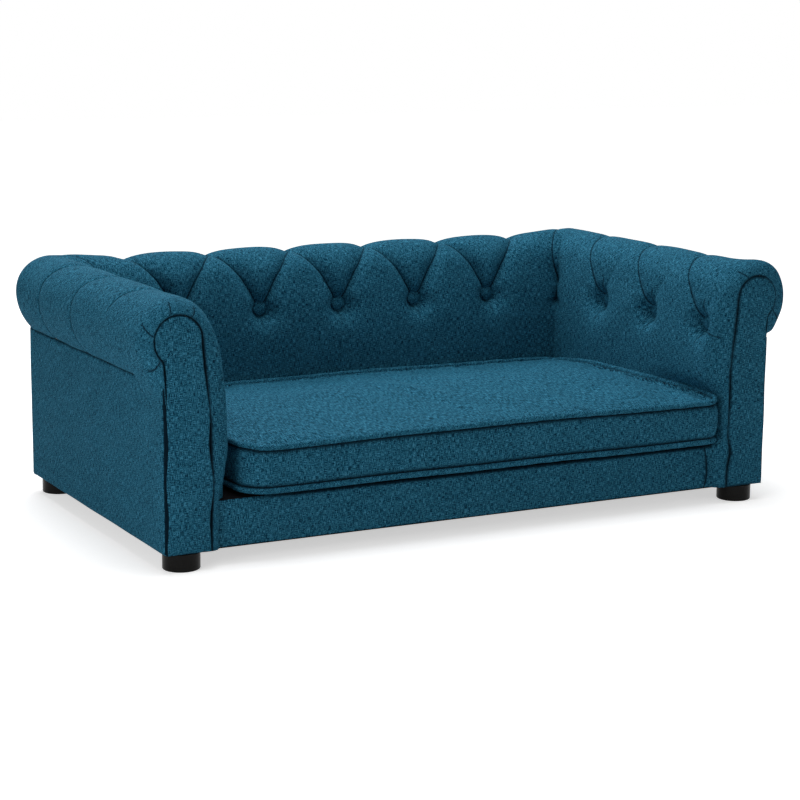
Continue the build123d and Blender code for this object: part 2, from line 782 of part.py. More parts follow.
with BuildPart() as foot_screws:
    with Locations(*[(foot_u, y, screw_low_z) for y in (foot_front_y, foot_rear_y)]):
        Cylinder(screw_radius, frame_bottom_z + screw_in_rail - screw_low_z, align=standing)
    mirror(about=Plane.YZ)
finish(foot_screws, "foot_screws")

with BuildPart() as foot_inserts:
    with BuildSketch(Plane.XY.offset(frame_bottom_z)):
        with Locations(*[(foot_u, y) for y in (foot_front_y, foot_rear_y)]):
            Circle(insert_radius)
            Circle(screw_radius + screw_clear, mode=Mode.SUBTRACT)
    extrude(amount=insert_length)
    mirror(about=Plane.YZ)
finish(foot_inserts, "foot_inserts")


# Cushion: places of its seams
cushion_half = face_u - cushion_side_gap
cushion_half_y = (face_u - mitre_offset - cushion_rear_gap + overall_depth / 2) / 2
cushion_y = -overall_depth / 2 + cushion_half_y
cushion_low_z = deck_top_z + sliding_clear
boxing_half = cushion_half - welt_proud
boxing_half_y = cushion_half_y - welt_proud
welt_low_z = deck_top_z + welt_lift
welt_high_z = welt_low_z + boxing_height


def draw_cushion(grow):
    """Plan of the boxing, grown all round: round corners, and sides drawn in between them."""
    half_x = boxing_half + grow
    half_y = boxing_half_y + grow
    corner = cushion_corner + grow
    turn = math.radians(draw_in_angle)
    ends = []
    for quarter, (side_x, side_y) in enumerate(((1, 1), (-1, 1), (-1, -1), (1, -1))):
        centre = (side_x * (half_x - corner), side_y * (half_y - corner))
        low = crest_angle * quarter - draw_in_angle
        high = crest_angle * (quarter + 1) + draw_in_angle
        ThreePointArc(polar(centre, corner, low), polar(centre, corner, (low + high) / 2),
                      polar(centre, corner, high))
        ends.append((polar(centre, corner, low), polar(centre, corner, high)))
    for quarter in range(4):
        start = ends[quarter][1]
        end = ends[(quarter + 1) % 4][0]
        bow = math.dist(start, end) / 2 * math.tan(turn / 2)
        middle = polar(between(start, end, 1 / 2), bow, crest_angle * (quarter + 3))
        ThreePointArc(start, middle, end)


def cushion_plan(z, grow):
    """The cushion's plan as a face at a height."""
    with BuildSketch(Plane((0, cushion_y, z))) as section:
        with BuildLine():
            draw_cushion(grow)
        make_face()
    return section.sketch


def crowned_section(x, along, inset):
    """Upright section across the cushion: flat-sided boxing, arched top, and a fuller arch below."""
    half_y = boxing_half_y + overrun
    crown = crown_end_height + (crown_height - crown_end_height) * (1 - along**2)
    belly = bottom_end_bulge + (bottom_bulge - bottom_end_bulge) * (1 - along**4)
    low = welt_low_z + inset
    high = welt_high_z - inset
    with BuildSketch(Plane(origin=(x, cushion_y, 0), x_dir=(0, 1, 0), z_dir=(1, 0, 0))) as section:
        with BuildLine():
            Line((-half_y, low), (-half_y, high))
            ThreePointArc((-half_y, high), (0, high + crown), (half_y, high))
            Line((half_y, high), (half_y, low))
            ThreePointArc((half_y, low), (0, low - belly), (-half_y, low))
        make_face()
    return section.sketch


def cushion_solid(inset):
    """Crowned block inside the plan, cut flat where it rests."""
    half_x = boxing_half + overrun
    with BuildPart() as block:
        loft([crowned_section(along * half_x, along, inset) for along in crown_section_shares])
        extrude(cushion_plan(cushion_low_z + inset, -inset), amount=overall_width, mode=Mode.INTERSECT)
    return block.part


def welt_tube(z, radius):
    """Closed tube that follows the boxing's edge at a height."""
    inset = welt_proud - welt_radius
    with BuildPart() as tube:
        with BuildLine(Plane((0, cushion_y, z))) as path:
            draw_cushion(inset)
        with BuildSketch(Plane(origin=path.edges()[0] @ 0, z_dir=path.edges()[0] % 0)):
            Circle(radius)
        sweep(path=path.wire())
    return tube.part


with BuildPart() as cushion_cover:
    add(cushion_solid(0))
    add(cushion_solid(cushion_wrap), mode=Mode.SUBTRACT)
    add(welt_tube(welt_low_z, welt_radius + sliding_clear), mode=Mode.SUBTRACT)
    add(welt_tube(welt_high_z, welt_radius + sliding_clear), mode=Mode.SUBTRACT)
finish(cushion_cover, "cushion_cover")

with BuildPart() as cushion_foam:
    add(cushion_solid(cushion_wrap + sliding_clear))
finish(cushion_foam, "cushion_foam")

for name, z in (("cushion_welt_top", welt_high_z), ("cushion_welt_bottom", welt_low_z)):
    with BuildPart() as welt:
        add(welt_tube(z, welt_radius))
    finish(welt, name)


# Zip along the middle of the rear boxing
zip_z = (welt_low_z + welt_high_z) / 2
tape_low = sliding_clear
tape_high = tape_low + zip_tape_thickness
chain_high = tape_high + zip_chain_thickness
chain_half = zip_length / 2 - zip_chain_inset


def boxing_strip(low, high, height, half_length):
    """Strip that follows the rear boxing between two distances out from it."""
    bottom = zip_z - height / 2
    rear = slab((-half_length, cushion_y, 0), (half_length, overall_depth, overall_width))
    with BuildPart() as strip:
        extrude(cushion_plan(bottom, high), amount=height)
        extrude(cushion_plan(bottom, low), amount=height, mode=Mode.SUBTRACT)
        add(rear, mode=Mode.INTERSECT)
    return strip.part


with BuildPart() as zip_tape:
    add(boxing_strip(tape_low, tape_high, zip_tape_height, zip_length / 2))
finish(zip_tape, "zip_tape")

with BuildPart() as zip_chain:
    add(boxing_strip(tape_high, chain_high, zip_chain_height, chain_half))
finish(zip_chain, "zip_chain")


def boxing_y(x):
    """Where the drawn-in rear boxing lies at x, at most a corner's start from the middle."""
    turn = math.radians(draw_in_angle)
    half_chord = boxing_half - cushion_corner + cushion_corner * math.sin(turn)
    bow = half_chord / math.sin(turn)
    chord_y = cushion_y + boxing_half_y - cushion_corner + cushion_corner * math.cos(turn)
    return chord_y - math.sqrt(bow**2 - x**2) + math.sqrt(bow**2 - half_chord**2)


# Slider: a plate over the chain with a wall above and below it, and two ears for the pull
slider_x = chain_half - slider_end_gap
slider_far_x = slider_x + slider_width / 2
slider_near_x = slider_x - slider_width / 2
slider_y = boxing_y(slider_far_x)
channel_low_y = slider_y + tape_high + sliding_clear
channel_high_y = slider_y + chain_high + sliding_clear
plate_y = channel_high_y + slider_wall
channel_half = zip_chain_height / 2 + sliding_clear
pin_y = plate_y + ear_height / 2
pin_z = zip_z + slider_height / 4
ear_half_gap = ear_gap / 2
pin_span = ear_gap + 2 * ear_width
with BuildPart() as zip_slider:
    add(slab((slider_near_x, channel_low_y, zip_z - slider_height / 2),
             (slider_far_x, plate_y, zip_z + slider_height / 2)))
    add(slab((slider_near_x - overrun, channel_low_y - overrun, zip_z - channel_half),
             (slider_far_x + overrun, channel_high_y, zip_z + channel_half)), mode=Mode.SUBTRACT)
    for side in (-1, 1):
        ear_x = slider_x + side * (ear_half_gap + ear_width / 2)
        add(slab((ear_x - ear_width / 2, plate_y, pin_z - ear_height / 2),
                 (ear_x + ear_width / 2, plate_y + ear_height, pin_z + ear_height / 2)))
    with Locations(Plane(origin=(slider_x, pin_y, pin_z), z_dir=(1, 0, 0))):
        Cylinder(pull_pin_radius + pull_pin_clear, pin_span + overrun, mode=Mode.SUBTRACT)
finish(zip_slider, "zip_slider")

# Pull: a flat tab that hangs from a pin between the ears, narrow there and wider below them
pull_neck = ear_gap - 2 * pull_pin_clear
pull_low_z = pin_z - pull_length
neck_low_z = pin_z - ear_height / 2 - overrun
with BuildPart() as zip_pull:
    with Locations(Plane(origin=(slider_x, pin_y, pin_z), z_dir=(1, 0, 0))):
        Cylinder(pull_pin_radius, pin_span)
    add(slab((slider_x - pull_neck / 2, pin_y - pull_thickness / 2, neck_low_z),
             (slider_x + pull_neck / 2, pin_y + pull_thickness / 2, pin_z)))
    add(slab((slider_x - pull_width / 2, pin_y - pull_thickness / 2, pull_low_z),
             (slider_x + pull_width / 2, pin_y + pull_thickness / 2, neck_low_z)))
finish(zip_pull, "zip_pull")
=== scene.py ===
import math

import bmesh
import bpy
import numpy as np
from mathutils import Matrix, Vector


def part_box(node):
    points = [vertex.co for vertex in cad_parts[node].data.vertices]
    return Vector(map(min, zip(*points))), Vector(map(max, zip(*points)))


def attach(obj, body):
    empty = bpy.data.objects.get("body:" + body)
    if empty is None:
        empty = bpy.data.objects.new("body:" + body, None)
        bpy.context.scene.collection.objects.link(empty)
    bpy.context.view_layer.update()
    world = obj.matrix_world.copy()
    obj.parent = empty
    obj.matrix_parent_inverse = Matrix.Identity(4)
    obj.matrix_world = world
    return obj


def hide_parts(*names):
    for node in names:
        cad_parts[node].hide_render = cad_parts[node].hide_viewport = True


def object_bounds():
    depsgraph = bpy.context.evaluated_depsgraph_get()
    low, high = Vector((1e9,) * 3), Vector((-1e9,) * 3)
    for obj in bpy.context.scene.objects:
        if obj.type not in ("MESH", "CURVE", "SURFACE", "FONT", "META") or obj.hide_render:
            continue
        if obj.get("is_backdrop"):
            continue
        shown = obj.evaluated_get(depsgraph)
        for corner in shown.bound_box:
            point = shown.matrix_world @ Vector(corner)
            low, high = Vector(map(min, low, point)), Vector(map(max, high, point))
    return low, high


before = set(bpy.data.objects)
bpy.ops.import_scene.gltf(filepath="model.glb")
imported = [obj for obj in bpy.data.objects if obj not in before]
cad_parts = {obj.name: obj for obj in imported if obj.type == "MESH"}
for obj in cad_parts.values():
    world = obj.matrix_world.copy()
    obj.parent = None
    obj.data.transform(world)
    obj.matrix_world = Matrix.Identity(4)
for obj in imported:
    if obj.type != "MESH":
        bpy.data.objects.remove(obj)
cad_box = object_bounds()
scene = bpy.context.scene

# The camera looks at the sofa from the front left and a little above, with a long lens, as the photograph
# does: its place and its turns come from the sofa's own edges in the picture.
camera_data = bpy.data.cameras.new("camera")
camera_data.lens = 94.77
camera_data.sensor_width = 36.0
camera = bpy.data.objects.new("camera", camera_data)
scene.collection.objects.link(camera)
camera_turns = (Matrix.Rotation(math.radians(-28.018), 4, "Z")
                @ Matrix.Rotation(math.radians(90 - 10.928), 4, "X")
                @ Matrix.Rotation(math.radians(0.454), 4, "Z"))
camera.matrix_world = Matrix.Translation((-1.43488, -2.71674, 0.735015)) @ camera_turns
scene.camera = camera


# The floor and the light: a plain white studio. The floor carries the sofa's soft shadow and looks white to
# the camera away from it, and big soft lamps stand above and to the front left.
def add_node(tree, kind, inputs=(), **settings):
    """New node with its settings, its sockets set to values or joined to other nodes' sockets."""
    made = tree.nodes.new(kind)
    for name, value in settings.items():
        setattr(made, name, value)
    for name, value in dict(inputs).items():
        if isinstance(value, bpy.types.NodeSocket):
            tree.links.new(value, made.inputs[name])
        else:
            made.inputs[name].default_value = value
    return made


def maths(tree, operation, first, second=0.0):
    """Socket that holds one sum of two numbers or sockets."""
    return add_node(tree, "ShaderNodeMath", {0: first, 1: second}, operation=operation).outputs[0]


def seen_directly(tree):
    """Socket that is 1 for what the camera sees directly, in a mirror or through glass, and 0 for light on
    things."""
    path = add_node(tree, "ShaderNodeLightPath")
    mirrored = maths(tree, "MAXIMUM", path.outputs["Is Glossy Ray"], path.outputs["Is Transmission Ray"])
    return maths(tree, "MAXIMUM", path.outputs["Is Camera Ray"], mirrored)


studio = bpy.data.worlds.new("studio")
studio.use_nodes = True
sky = studio.node_tree
sky.nodes.clear()
white = (1, 1, 1, 1)
room_light = add_node(sky, "ShaderNodeBackground", {"Color": white, "Strength": 0.20})
room_white = add_node(sky, "ShaderNodeBackground", {"Color": white, "Strength": 1.0})
room = add_node(sky, "ShaderNodeMixShader",
                {0: seen_directly(sky), 1: room_light.outputs[0], 2: room_white.outputs[0]})
add_node(sky, "ShaderNodeOutputWorld", {"Surface": room.outputs[0]})
scene.world = studio
scene.view_settings.view_transform = "Standard"

floor_half = 9
floor_corners = [(x * floor_half, y * floor_half, 0) for x, y in ((-1, -1), (1, -1), (1, 1), (-1, 1))]
floor_mesh = bpy.data.meshes.new("floor")
floor_mesh.from_pydata(floor_corners, [], [(0, 1, 2, 3)])
floor = bpy.data.objects.new("floor", floor_mesh)
scene.collection.objects.link(floor)
floor_paint = bpy.data.materials.new("floor")
floor_paint.use_nodes = True
floor_tree = floor_paint.node_tree
floor_tree.nodes.clear()
floor_matt = add_node(floor_tree, "ShaderNodeBsdfDiffuse", {"Color": (0.8, 0.8, 0.8, 1)})
floor_spot = add_node(floor_tree, "ShaderNodeTexCoord").outputs["Object"]
floor_far = add_node(floor_tree, "ShaderNodeVectorMath", {0: floor_spot}, operation="LENGTH").outputs["Value"]
whitening = {"Value": floor_far, "From Min": 0.8, "From Max": 2.2, "To Min": 0.56, "To Max": 0.85}
floor_white = add_node(floor_tree, "ShaderNodeMapRange", whitening).outputs["Result"]
floor_strength = maths(floor_tree, "MULTIPLY", seen_directly(floor_tree), floor_white)
floor_glow = add_node(floor_tree, "ShaderNodeEmission", {"Color": white, "Strength": floor_strength})
floor_sum = add_node(floor_tree, "ShaderNodeAddShader", {0: floor_matt.outputs[0], 1: floor_glow.outputs[0]})
add_node(floor_tree, "ShaderNodeOutputMaterial", {"Surface": floor_sum.outputs[0]})
floor_mesh.materials.append(floor_paint)
floor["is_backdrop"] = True

for lamp_name, place, aim, size, power in (
        ("overhead", (0, 0, 2.2), (0, 0, 0.2), 1.8, 31.0),
        ("over_back", (0, 1.3, 1.9), (0, 0, 0.2), 1.6, 25.0),
        ("left_low", (-3, -0.5, 0.6), (-0.2, 0, 0.2), 1.4, 3.5),
        ("left_close", (-1.5, -1.0, 0.5), (-0.4, -0.3, 0.2), 0.6, 6.5),
        ("front_right", (1.6, -2.6, 1.0), (0, 0, 0.2), 1.4, 8.5)):
    lamp_data = bpy.data.lights.new(lamp_name, "AREA")
    lamp_data.shape = "DISK"
    lamp_data.size = size
    lamp_data.energy = power
    lamp = bpy.data.objects.new(lamp_name, lamp_data)
    lamp.location = place
    lamp.rotation_euler = (Vector(place) - Vector(aim)).to_track_quat("Z", "Y").to_euler()
    lamp.visible_camera = False
    scene.collection.objects.link(lamp)


# The timber frame: sawn pine rails, blocks and beam, and birch ply boards, glued and screwed together. All
# of it is hidden under the cloth and shows only if the cloth is taken off.
def new_material(name, roughness, **sockets):
    """Material with its shader's own sockets set, and that shader."""
    made = bpy.data.materials.new(name)
    made.use_nodes = True
    shader = made.node_tree.nodes["Principled BSDF"]
    shader.inputs["Roughness"].default_value = roughness
    for socket, value in sockets.items():
        shader.inputs[socket.replace("_", " ")].default_value = value
    return made, shader


def ramp(tree, share, *stops):
    """Colour that runs through stops, each a position and a colour."""
    made = add_node(tree, "ShaderNodeValToRGB", {"Fac": share})
    while len(made.color_ramp.elements) < len(stops):
        made.color_ramp.elements.new(0.5)
    for element, (position, colour) in zip(made.color_ramp.elements, stops):
        element.position = position
        element.color = (*colour, 1)
    return made.outputs["Color"]


def noise(tree, vector, stretch, detail=3.0):
    """Noise whose grains are as long each way, in metres, as stretch says."""
    scaled = add_node(tree, "ShaderNodeMapping", {"Vector": vector, "Scale": tuple(1 / s for s in stretch)})
    return add_node(tree, "ShaderNodeTexNoise",
                    {"Vector": scaled.outputs[0], "Scale": 1.0, "Detail": detail}).outputs["Fac"]


def grains(*stretch, detail=3.0):
    """Figure of noise, for toned: its grains are as long each way, in metres, as stretch says."""
    return lambda tree, place: noise(tree, place, stretch, detail)


def bands(scale, distortion=0.0):
    """Figure of slanting bands, for toned: closer for a greater scale, and wavy by distortion."""
    return lambda tree, place: add_node(
        tree, "ShaderNodeTexWave", {"Vector": place, "Scale": scale, "Distortion": distortion},
        bands_direction="DIAGONAL").outputs["Fac"]


def toned(name, roughness, figure, *stops, bump=None, **sockets):
    """Material whose colour runs through stops with a figure over the object's own place. With bump, a
    strength and a depth in metres, the figure is raised too."""
    made, shader = new_material(name, roughness, **sockets)
    tree = made.node_tree
    height = figure(tree, add_node(tree, "ShaderNodeTexCoord").outputs["Object"])
    tree.links.new(ramp(tree, height, *stops), shader.inputs["Base Color"])
    if bump:
        strength, depth = bump
        raised = add_node(tree, "ShaderNodeBump", {"Height": height, "Strength": strength, "Distance": depth})
        tree.links.new(raised.outputs[0], shader.inputs["Normal"])
    return made


def timber(name, dark, light, *grain):
    """Wood with grain that runs the way grain is longest, and a rough sawn surface."""
    return toned(name, 0.7, grains(*grain, detail=5.0), (0.3, dark), (0.55, light), (0.75, dark),
                 bump=(0.3, 0.0006), Specular_IOR_Level=0.25)


def finish_nodes(material, *names):
    """Gives CAD pieces their material."""
    for name in names:
        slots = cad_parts[name].data.materials
        slots.clear()
        slots.append(material)


pine_dark, pine_light = (0.5, 0.34, 0.18), (0.68, 0.5, 0.31)
pine_across = timber("pine_across", pine_dark, pine_light, 0.18, 0.006, 0.004)
pine_deep = timber("pine_front_to_back", pine_dark, pine_light, 0.006, 0.18, 0.004)
birch_ply = timber("birch_ply", (0.55, 0.4, 0.24), (0.7, 0.54, 0.36), 0.12, 0.12, 0.003)
finish_nodes(pine_across, "base_front_rail", "base_rear_rail", "base_corner_blocks", "back_bottom_rail",
             "back_tack_rail")
finish_nodes(pine_deep, "base_side_rail_left", "base_side_rail_right", "base_centre_beam",
             "arm_bottom_rail_left", "arm_bottom_rail_right", "arm_tack_rails")
finish_nodes(birch_ply, "deck_board", "arm_front_board_left", "arm_front_board_right", "arm_rear_board_left",
             "arm_rear_board_right", "arm_tuft_board_left", "arm_tuft_board_right", "back_tuft_board",
             "back_end_board_left", "back_end_board_right")


# Cardboard tubes under the rolls: brown board, wound in a spiral and glued, that gives the rolls their
# round form. They are cut to each roll's length and stapled into the scroll-shaped boards.
def wound_fibre(tree, place):
    """Fibre of the board, a noise, times the bands in which it is wound."""
    return maths(tree, "MULTIPLY", grains(0.004, 0.004, 0.004)(tree, place), bands(9.0, 0.4)(tree, place))


tube_board = toned("wound_cardboard", 0.85, wound_fibre, (0.05, (0.24, 0.15, 0.08)),
                   (0.6, (0.42, 0.29, 0.17)), Specular_IOR_Level=0.15)
finish_nodes(tube_board, "arm_roll_tube_left", "arm_roll_tube_right", "back_roll_tube")

# Steel fixings: the bolts, nuts, screws and threaded inserts that hold the timber and the feet together,
# and the washers that hold the button twines. They are turned or pressed from steel and zinc plated.
zinc = toned("zinc_plate", 0.38, grains(0.002, 0.002, 0.002), (0.3, (0.5, 0.5, 0.49)),
             (0.7, (0.68, 0.69, 0.7)), Metallic=1.0)
finish_nodes(zinc, "base_bolts", "joining_bolts", "joining_nuts", "foot_screws", "foot_inserts",
             "twine_anchors")

# Button twine: waxed flax, laid of two plies. It runs through the foam and the tuft board to a washer
# behind, and draws each button down.
flax = toned("waxed_flax", 0.6, bands(180.0), (0.1, (0.42, 0.36, 0.25)), (0.7, (0.66, 0.6, 0.46)),
             Specular_IOR_Level=0.3)
finish_nodes(flax, "button_twines")


# Dust cover: thin black nonwoven cloth that closes the underside. It is stapled taut under the base round
# its edge, and sags a little in shallow folds between.
def grid(points, cloth=None, marks=(), flip=False):
    """Squares over a grid of points (rows, columns, 3), with cloth coordinates in metres at their corners
    and named numbers at their points. They face the way that columns turn into rows by the right-hand rule,
    and flip turns them round."""
    rows, columns = points.shape[:2]
    row, column = np.meshgrid(np.arange(rows - 1), np.arange(columns - 1), indexing="ij")
    corners = [(row, column), (row, column + 1), (row + 1, column + 1), (row + 1, column)]
    if flip:
        corners.reverse()
    cloth = points[:, :, :2] if cloth is None else cloth
    return {"points": points.reshape(-1, 3),
            "faces": np.stack([r * columns + c for r, c in corners], axis=-1).reshape(-1, 4),
            "cloth": np.stack([cloth[r, c] for r, c in corners], axis=2).reshape(-1, 2),
            "marks": {mark: values.ravel() for mark, values in dict(marks).items()}}


def new_piece(name, material, *grids, weld=False):
    """Object made of grids in one mesh with one material; weld merges the points that lie on one another."""
    starts = np.cumsum([0] + [len(g["points"]) for g in grids])
    mesh = bpy.data.meshes.new(name)
    mesh.from_pydata(np.concatenate([g["points"] for g in grids]).tolist(), [],
                     np.concatenate([g["faces"] + s for g, s in zip(grids, starts)]).tolist())
    layer = mesh.uv_layers.new(name="cloth")
    layer.uv.foreach_set("vector", np.concatenate([g["cloth"] for g in grids]).astype(np.float32).ravel())
    for mark in grids[0]["marks"]:
        values = np.concatenate([g["marks"][mark] for g in grids]).astype(np.float32)
        mesh.attributes.new(mark, "FLOAT", "POINT").data.foreach_set("value", values)
    if weld:
        merged = bmesh.new()
        merged.from_mesh(mesh)
        bmesh.ops.remove_doubles(merged, verts=merged.verts, dist=0.00001)
        merged.to_mesh(mesh)
        merged.free()
    mesh.shade_smooth()
    mesh.materials.append(material)
    made = bpy.data.objects.new(name, mesh)
    scene.collection.objects.link(made)
    return made


under_low, under_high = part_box("dust_cover")
under_x = np.linspace(under_low.x, under_high.x, 121)[None, :]
under_y = np.linspace(under_low.y, under_high.y, 61)[:, None]
# The sag is a clipped parabola each way, and the folds are the square of a wandering sine.
under_sag = (np.minimum(1, (1 - (under_x / under_high.x) ** 2) * 4)
             * np.minimum(1, (under_y - under_low.y) * (under_high.y - under_y) / 0.02))
under_folds = 0.4 + 0.6 * np.sin(under_x * 23 + 2 * np.sin(under_y * 17)) ** 2
under_z = under_low.z + 0.0002 - 0.0016 * under_sag * under_folds
# The cloth is black, and its tone is darkened further as painted shade, for the gap round the cushion where
# the deck cloth shows.
black_cloth = toned("black_nonwoven", 0.95, grains(0.0012, 0.0012, 0.0012), (0.3, (0.002, 0.002, 0.003)),
                    (0.7, (0.008, 0.008, 0.009)), Specular_IOR_Level=0.03)
under_points = np.stack(np.broadcast_arrays(under_x, under_y, under_z), axis=-1)
dust_cloth = new_piece("dust_cloth", black_cloth, grid(under_points, flip=True))
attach(dust_cloth, "sofa")
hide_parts("dust_cover")


# Deck cloth: the same black cloth, stapled flat over the ply deck, so that the cushion slides on it and no
# wood shows round the cushion. Its near-black tone is partly painted shade for the dark gap round the
# cushion.
deck_low, deck_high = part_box("deck_board")
deck_half_x = 0.395
deck_x = np.linspace(-deck_half_x, deck_half_x, 81)[None, :]
deck_y = np.linspace(deck_low.y - 0.0015, deck_high.y - 0.004, 47)[:, None]
deck_z = deck_high.z + 0.00022 + 0.0001 * np.sin(deck_x * 60 + 3 * np.sin(deck_y * 40))
deck_points = np.stack(np.broadcast_arrays(deck_x, deck_y, deck_z), axis=-1)
deck_cloth = new_piece("deck_cloth", black_cloth, grid(deck_points))
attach(deck_cloth, "sofa")


# Front rail: pine covered with thin wadding and the teal cloth of the whole sofa, a linen-look plain weave
# of slubby dark and light yarns, pulled round the rail's edges and stapled underneath.
yarn_pitch, yarn_width = 0.0013, 0.0006
warp_slub, weft_slub = 0.0075, 0.0060
crease_half = 0.0013
thread_dark, thread_mid, thread_light = (0.0004, 0.008, 0.018), (0.006, 0.068, 0.120), (0.046, 0.22, 0.34)
# crease_shade is the colour of the painted shade in creases and seams.
crease_shade = (0.001, 0.006, 0.012, 1)
sheen_tint = (0.1, 0.6, 0.9, 1)


def linen(name, turn=0.0):
    """Plain weave: warp and weft pass over and under like a chequer, each yarn with darker and lighter
    stretches.

    The weave lies on the cloth coordinates, turned by turn radians. Creases that the mesh marks get painted
    shade, and are sunk, by the bell curve of the distance from their middle."""
    made, shader = new_material(name, 0.9, Specular_IOR_Level=0.04, Sheen_Weight=0.05, Sheen_Roughness=0.4,
                                Sheen_Tint=sheen_tint)
    tree = made.node_tree
    flat = add_node(tree, "ShaderNodeUVMap", uv_map="cloth").outputs["UV"]
    cloth = add_node(tree, "ShaderNodeMapping", {"Vector": flat, "Rotation": (0, 0, turn)}).outputs[0]
    over = add_node(tree, "ShaderNodeTexChecker", {"Vector": cloth, "Scale": 1 / yarn_pitch}).outputs["Fac"]
    warp = noise(tree, cloth, (yarn_width, warp_slub, 1.0), 1.0)
    weft = noise(tree, cloth, (weft_slub, yarn_width, 1.0), 1.0)
    yarn = add_node(tree, "ShaderNodeMix", {0: over, 2: warp, 3: weft}).outputs[0]
    slubs = maths(tree, "MULTIPLY", maths(tree, "ADD", warp, weft), 0.22)
    both = maths(tree, "ADD", maths(tree, "MULTIPLY", yarn, 0.56), slubs)
    mottle = noise(tree, cloth, (0.05, 0.04, 1.0), 2.0)
    shade = maths(tree, "ADD", both, maths(tree, "MULTIPLY", maths(tree, "SUBTRACT", mottle, 0.5), 0.05))
    dyed = ramp(tree, shade, (0.39, thread_dark), (0.5, thread_mid), (0.6, thread_light))
    distance = add_node(tree, "ShaderNodeAttribute", attribute_name="crease").outputs["Fac"]
    show = add_node(tree, "ShaderNodeAttribute", attribute_name="crease_shade_strength").outputs["Fac"]
    spread = maths(tree, "DIVIDE", distance, crease_half)
    bell = maths(tree, "EXPONENT", maths(tree, "MULTIPLY", maths(tree, "MULTIPLY", spread, spread), -1.0))
    crease = maths(tree, "MULTIPLY", bell, show)
    # Painted shade: the marked creases are darkened toward crease_shade.
    folded = add_node(tree, "ShaderNodeMix", {0: crease, 6: dyed, 7: crease_shade}, data_type="RGBA")
    tree.links.new(folded.outputs[2], shader.inputs["Base Color"])
    height = maths(tree, "SUBTRACT", maths(tree, "ADD", both, maths(tree, "MULTIPLY", over, 0.12)), crease)
    bump = add_node(tree, "ShaderNodeBump", {"Height": height, "Strength": 0.6, "Distance": 0.0009})
    tree.links.new(bump.outputs[0], shader.inputs["Normal"])
    return made


def ripple(first, second):
    """Small unevenness of stretched cloth, from -1 to 1: a sum of slow waves that don't repeat."""
    return (np.sin(first * 37 + 3 * np.sin(second * 19)) + np.sin(second * 53 + 2 * np.sin(first * 29))
            + np.sin((first + second) * 71)) / 3


sofa_linen = linen("teal_linen")


def dress(piece, body, slot, *replaced, fill=None):
    """Puts a cloth piece on its body and hides the CAD pieces it replaces; fill, how full it is, is not used.
    """
    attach(piece, body)
    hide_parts(*replaced)


# The rail's section has quarter circles at both edges and bellies by a half sine; its ends turn in by an
# exponential. Its dark marks are painted shade: under the piping, and in the crease where the arm's cloth
# meets it at the right end.
rail_low, rail_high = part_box("front_rail_cover")
rail_round, rail_tuck = 0.003, 0.002
under_turn, over_turn = np.radians(np.linspace(-90, 0, 7)), np.radians(np.linspace(0, 90, 7))
rail_flat = np.linspace(rail_low.z + 2 * rail_round, rail_high.z - 2 * rail_round, 20)
rail_z = np.concatenate([rail_low.z + rail_round * (1 + np.sin(under_turn)), rail_flat,
                         rail_high.z - rail_round * (1 - np.sin(over_turn))])
rail_back = rail_round * np.concatenate([1 - np.cos(under_turn), 0 * rail_flat, 1 - np.cos(over_turn)])
rail_wide, rail_tall = np.meshgrid(np.linspace(rail_low.x - rail_tuck, rail_high.x + rail_tuck, 401), rail_z)
rail_belly = 0.001 * np.sin(math.pi * (rail_tall - rail_low.z) / (rail_high.z - rail_low.z))
rail_y = rail_low.y + rail_back[:, None] - 0.0007 * ripple(rail_wide * 0.6, rail_tall) - rail_belly
rail_y = rail_y + 0.004 * np.exp(-((rail_high.x + rail_tuck - np.abs(rail_wide)) / 0.008))
rail_points = np.stack([rail_wide, rail_y, rail_tall], axis=-1)
rail_hem = rail_points[[0, -1]] + (0, 0.012, 0)
rail_points = np.concatenate([rail_hem[:1], rail_points, rail_hem[1:]])
rail_share = np.clip((rail_points[:, :, 2] - rail_low.z) / (rail_high.z - rail_low.z), 0, 1)
rail_bow = np.sin(math.pi * rail_share**0.8)
rail_end_x = 0.3745 + 0.0045 * rail_bow + 0.0015 * (1 - rail_share)
rail_end = (rail_points[:, :, 0] - rail_end_x) / (0.7 + 1.2 * rail_bow)
# Painted shade: under the piping along the rail's top, and in the crease beside the arm's lip at the right
# end.
under_piping = 0.6 * np.maximum(0.0859 - rail_points[:, :, 2], 0)
under_piping_shade = 0.9 * np.interp(rail_points[:, :, 0], (-0.36, -0.30, 0.385, 0.392), (0, 1, 1, 0))
beside_end = np.abs(rail_end) < under_piping
rail_marks = {"crease": np.where(beside_end, rail_end, under_piping),
              "crease_shade_strength": np.where(beside_end, 0.97, under_piping_shade)}
rail_cloth = new_piece("front_rail_cloth", sofa_linen,
                       grid(rail_points, rail_points[:, :, [0, 2]], rail_marks))
dress(rail_cloth, "sofa", "linen_fabric", "front_rail_cover", fill=1.0)

# Arm covers: the cloth runs up the buttoned inner face, over the foam and the roll, to a seam under the
# roll. The buttons draw it in, and the spare cloth between them is laid in pleats that climb over the roll.

# u counts outward across a run. Turns are in degrees round the middle of the roll, 0 at its outermost point
# and negative below it: the cloth ends at seam_turn, the boards' heads end at tuck_turn, and at the front
# the cloth leaves the roll at leave_turn. The boards' stems start at stem_u, and what lies within lip_u is
# the arm's inner face.
roll_radius, roll_u, roll_z = 0.053, 0.447, 0.302
face_u, cloth_low_z, face_top_z = 0.380, 0.0248, 0.190
seam_turn, seam_radius, seam_z = -62.2, 0.0622, 0.247
lean_turn, leave_turn, tuck_turn = 14.2, -20, -50
stem_u, lip_u = 0.409, 0.42
head_u, head_z, board_radius = 0.452, 0.303, 0.033
mitre_offset = 0.219
button_z = 0.262
arm_front_y, front_round, arm_crossing = -0.2757, 0.034, 0.228
arm_buttons_y = (-0.220, -0.0865, 0.047)
arm_pleat_reach = 0.06675
crease_reach = 0.004


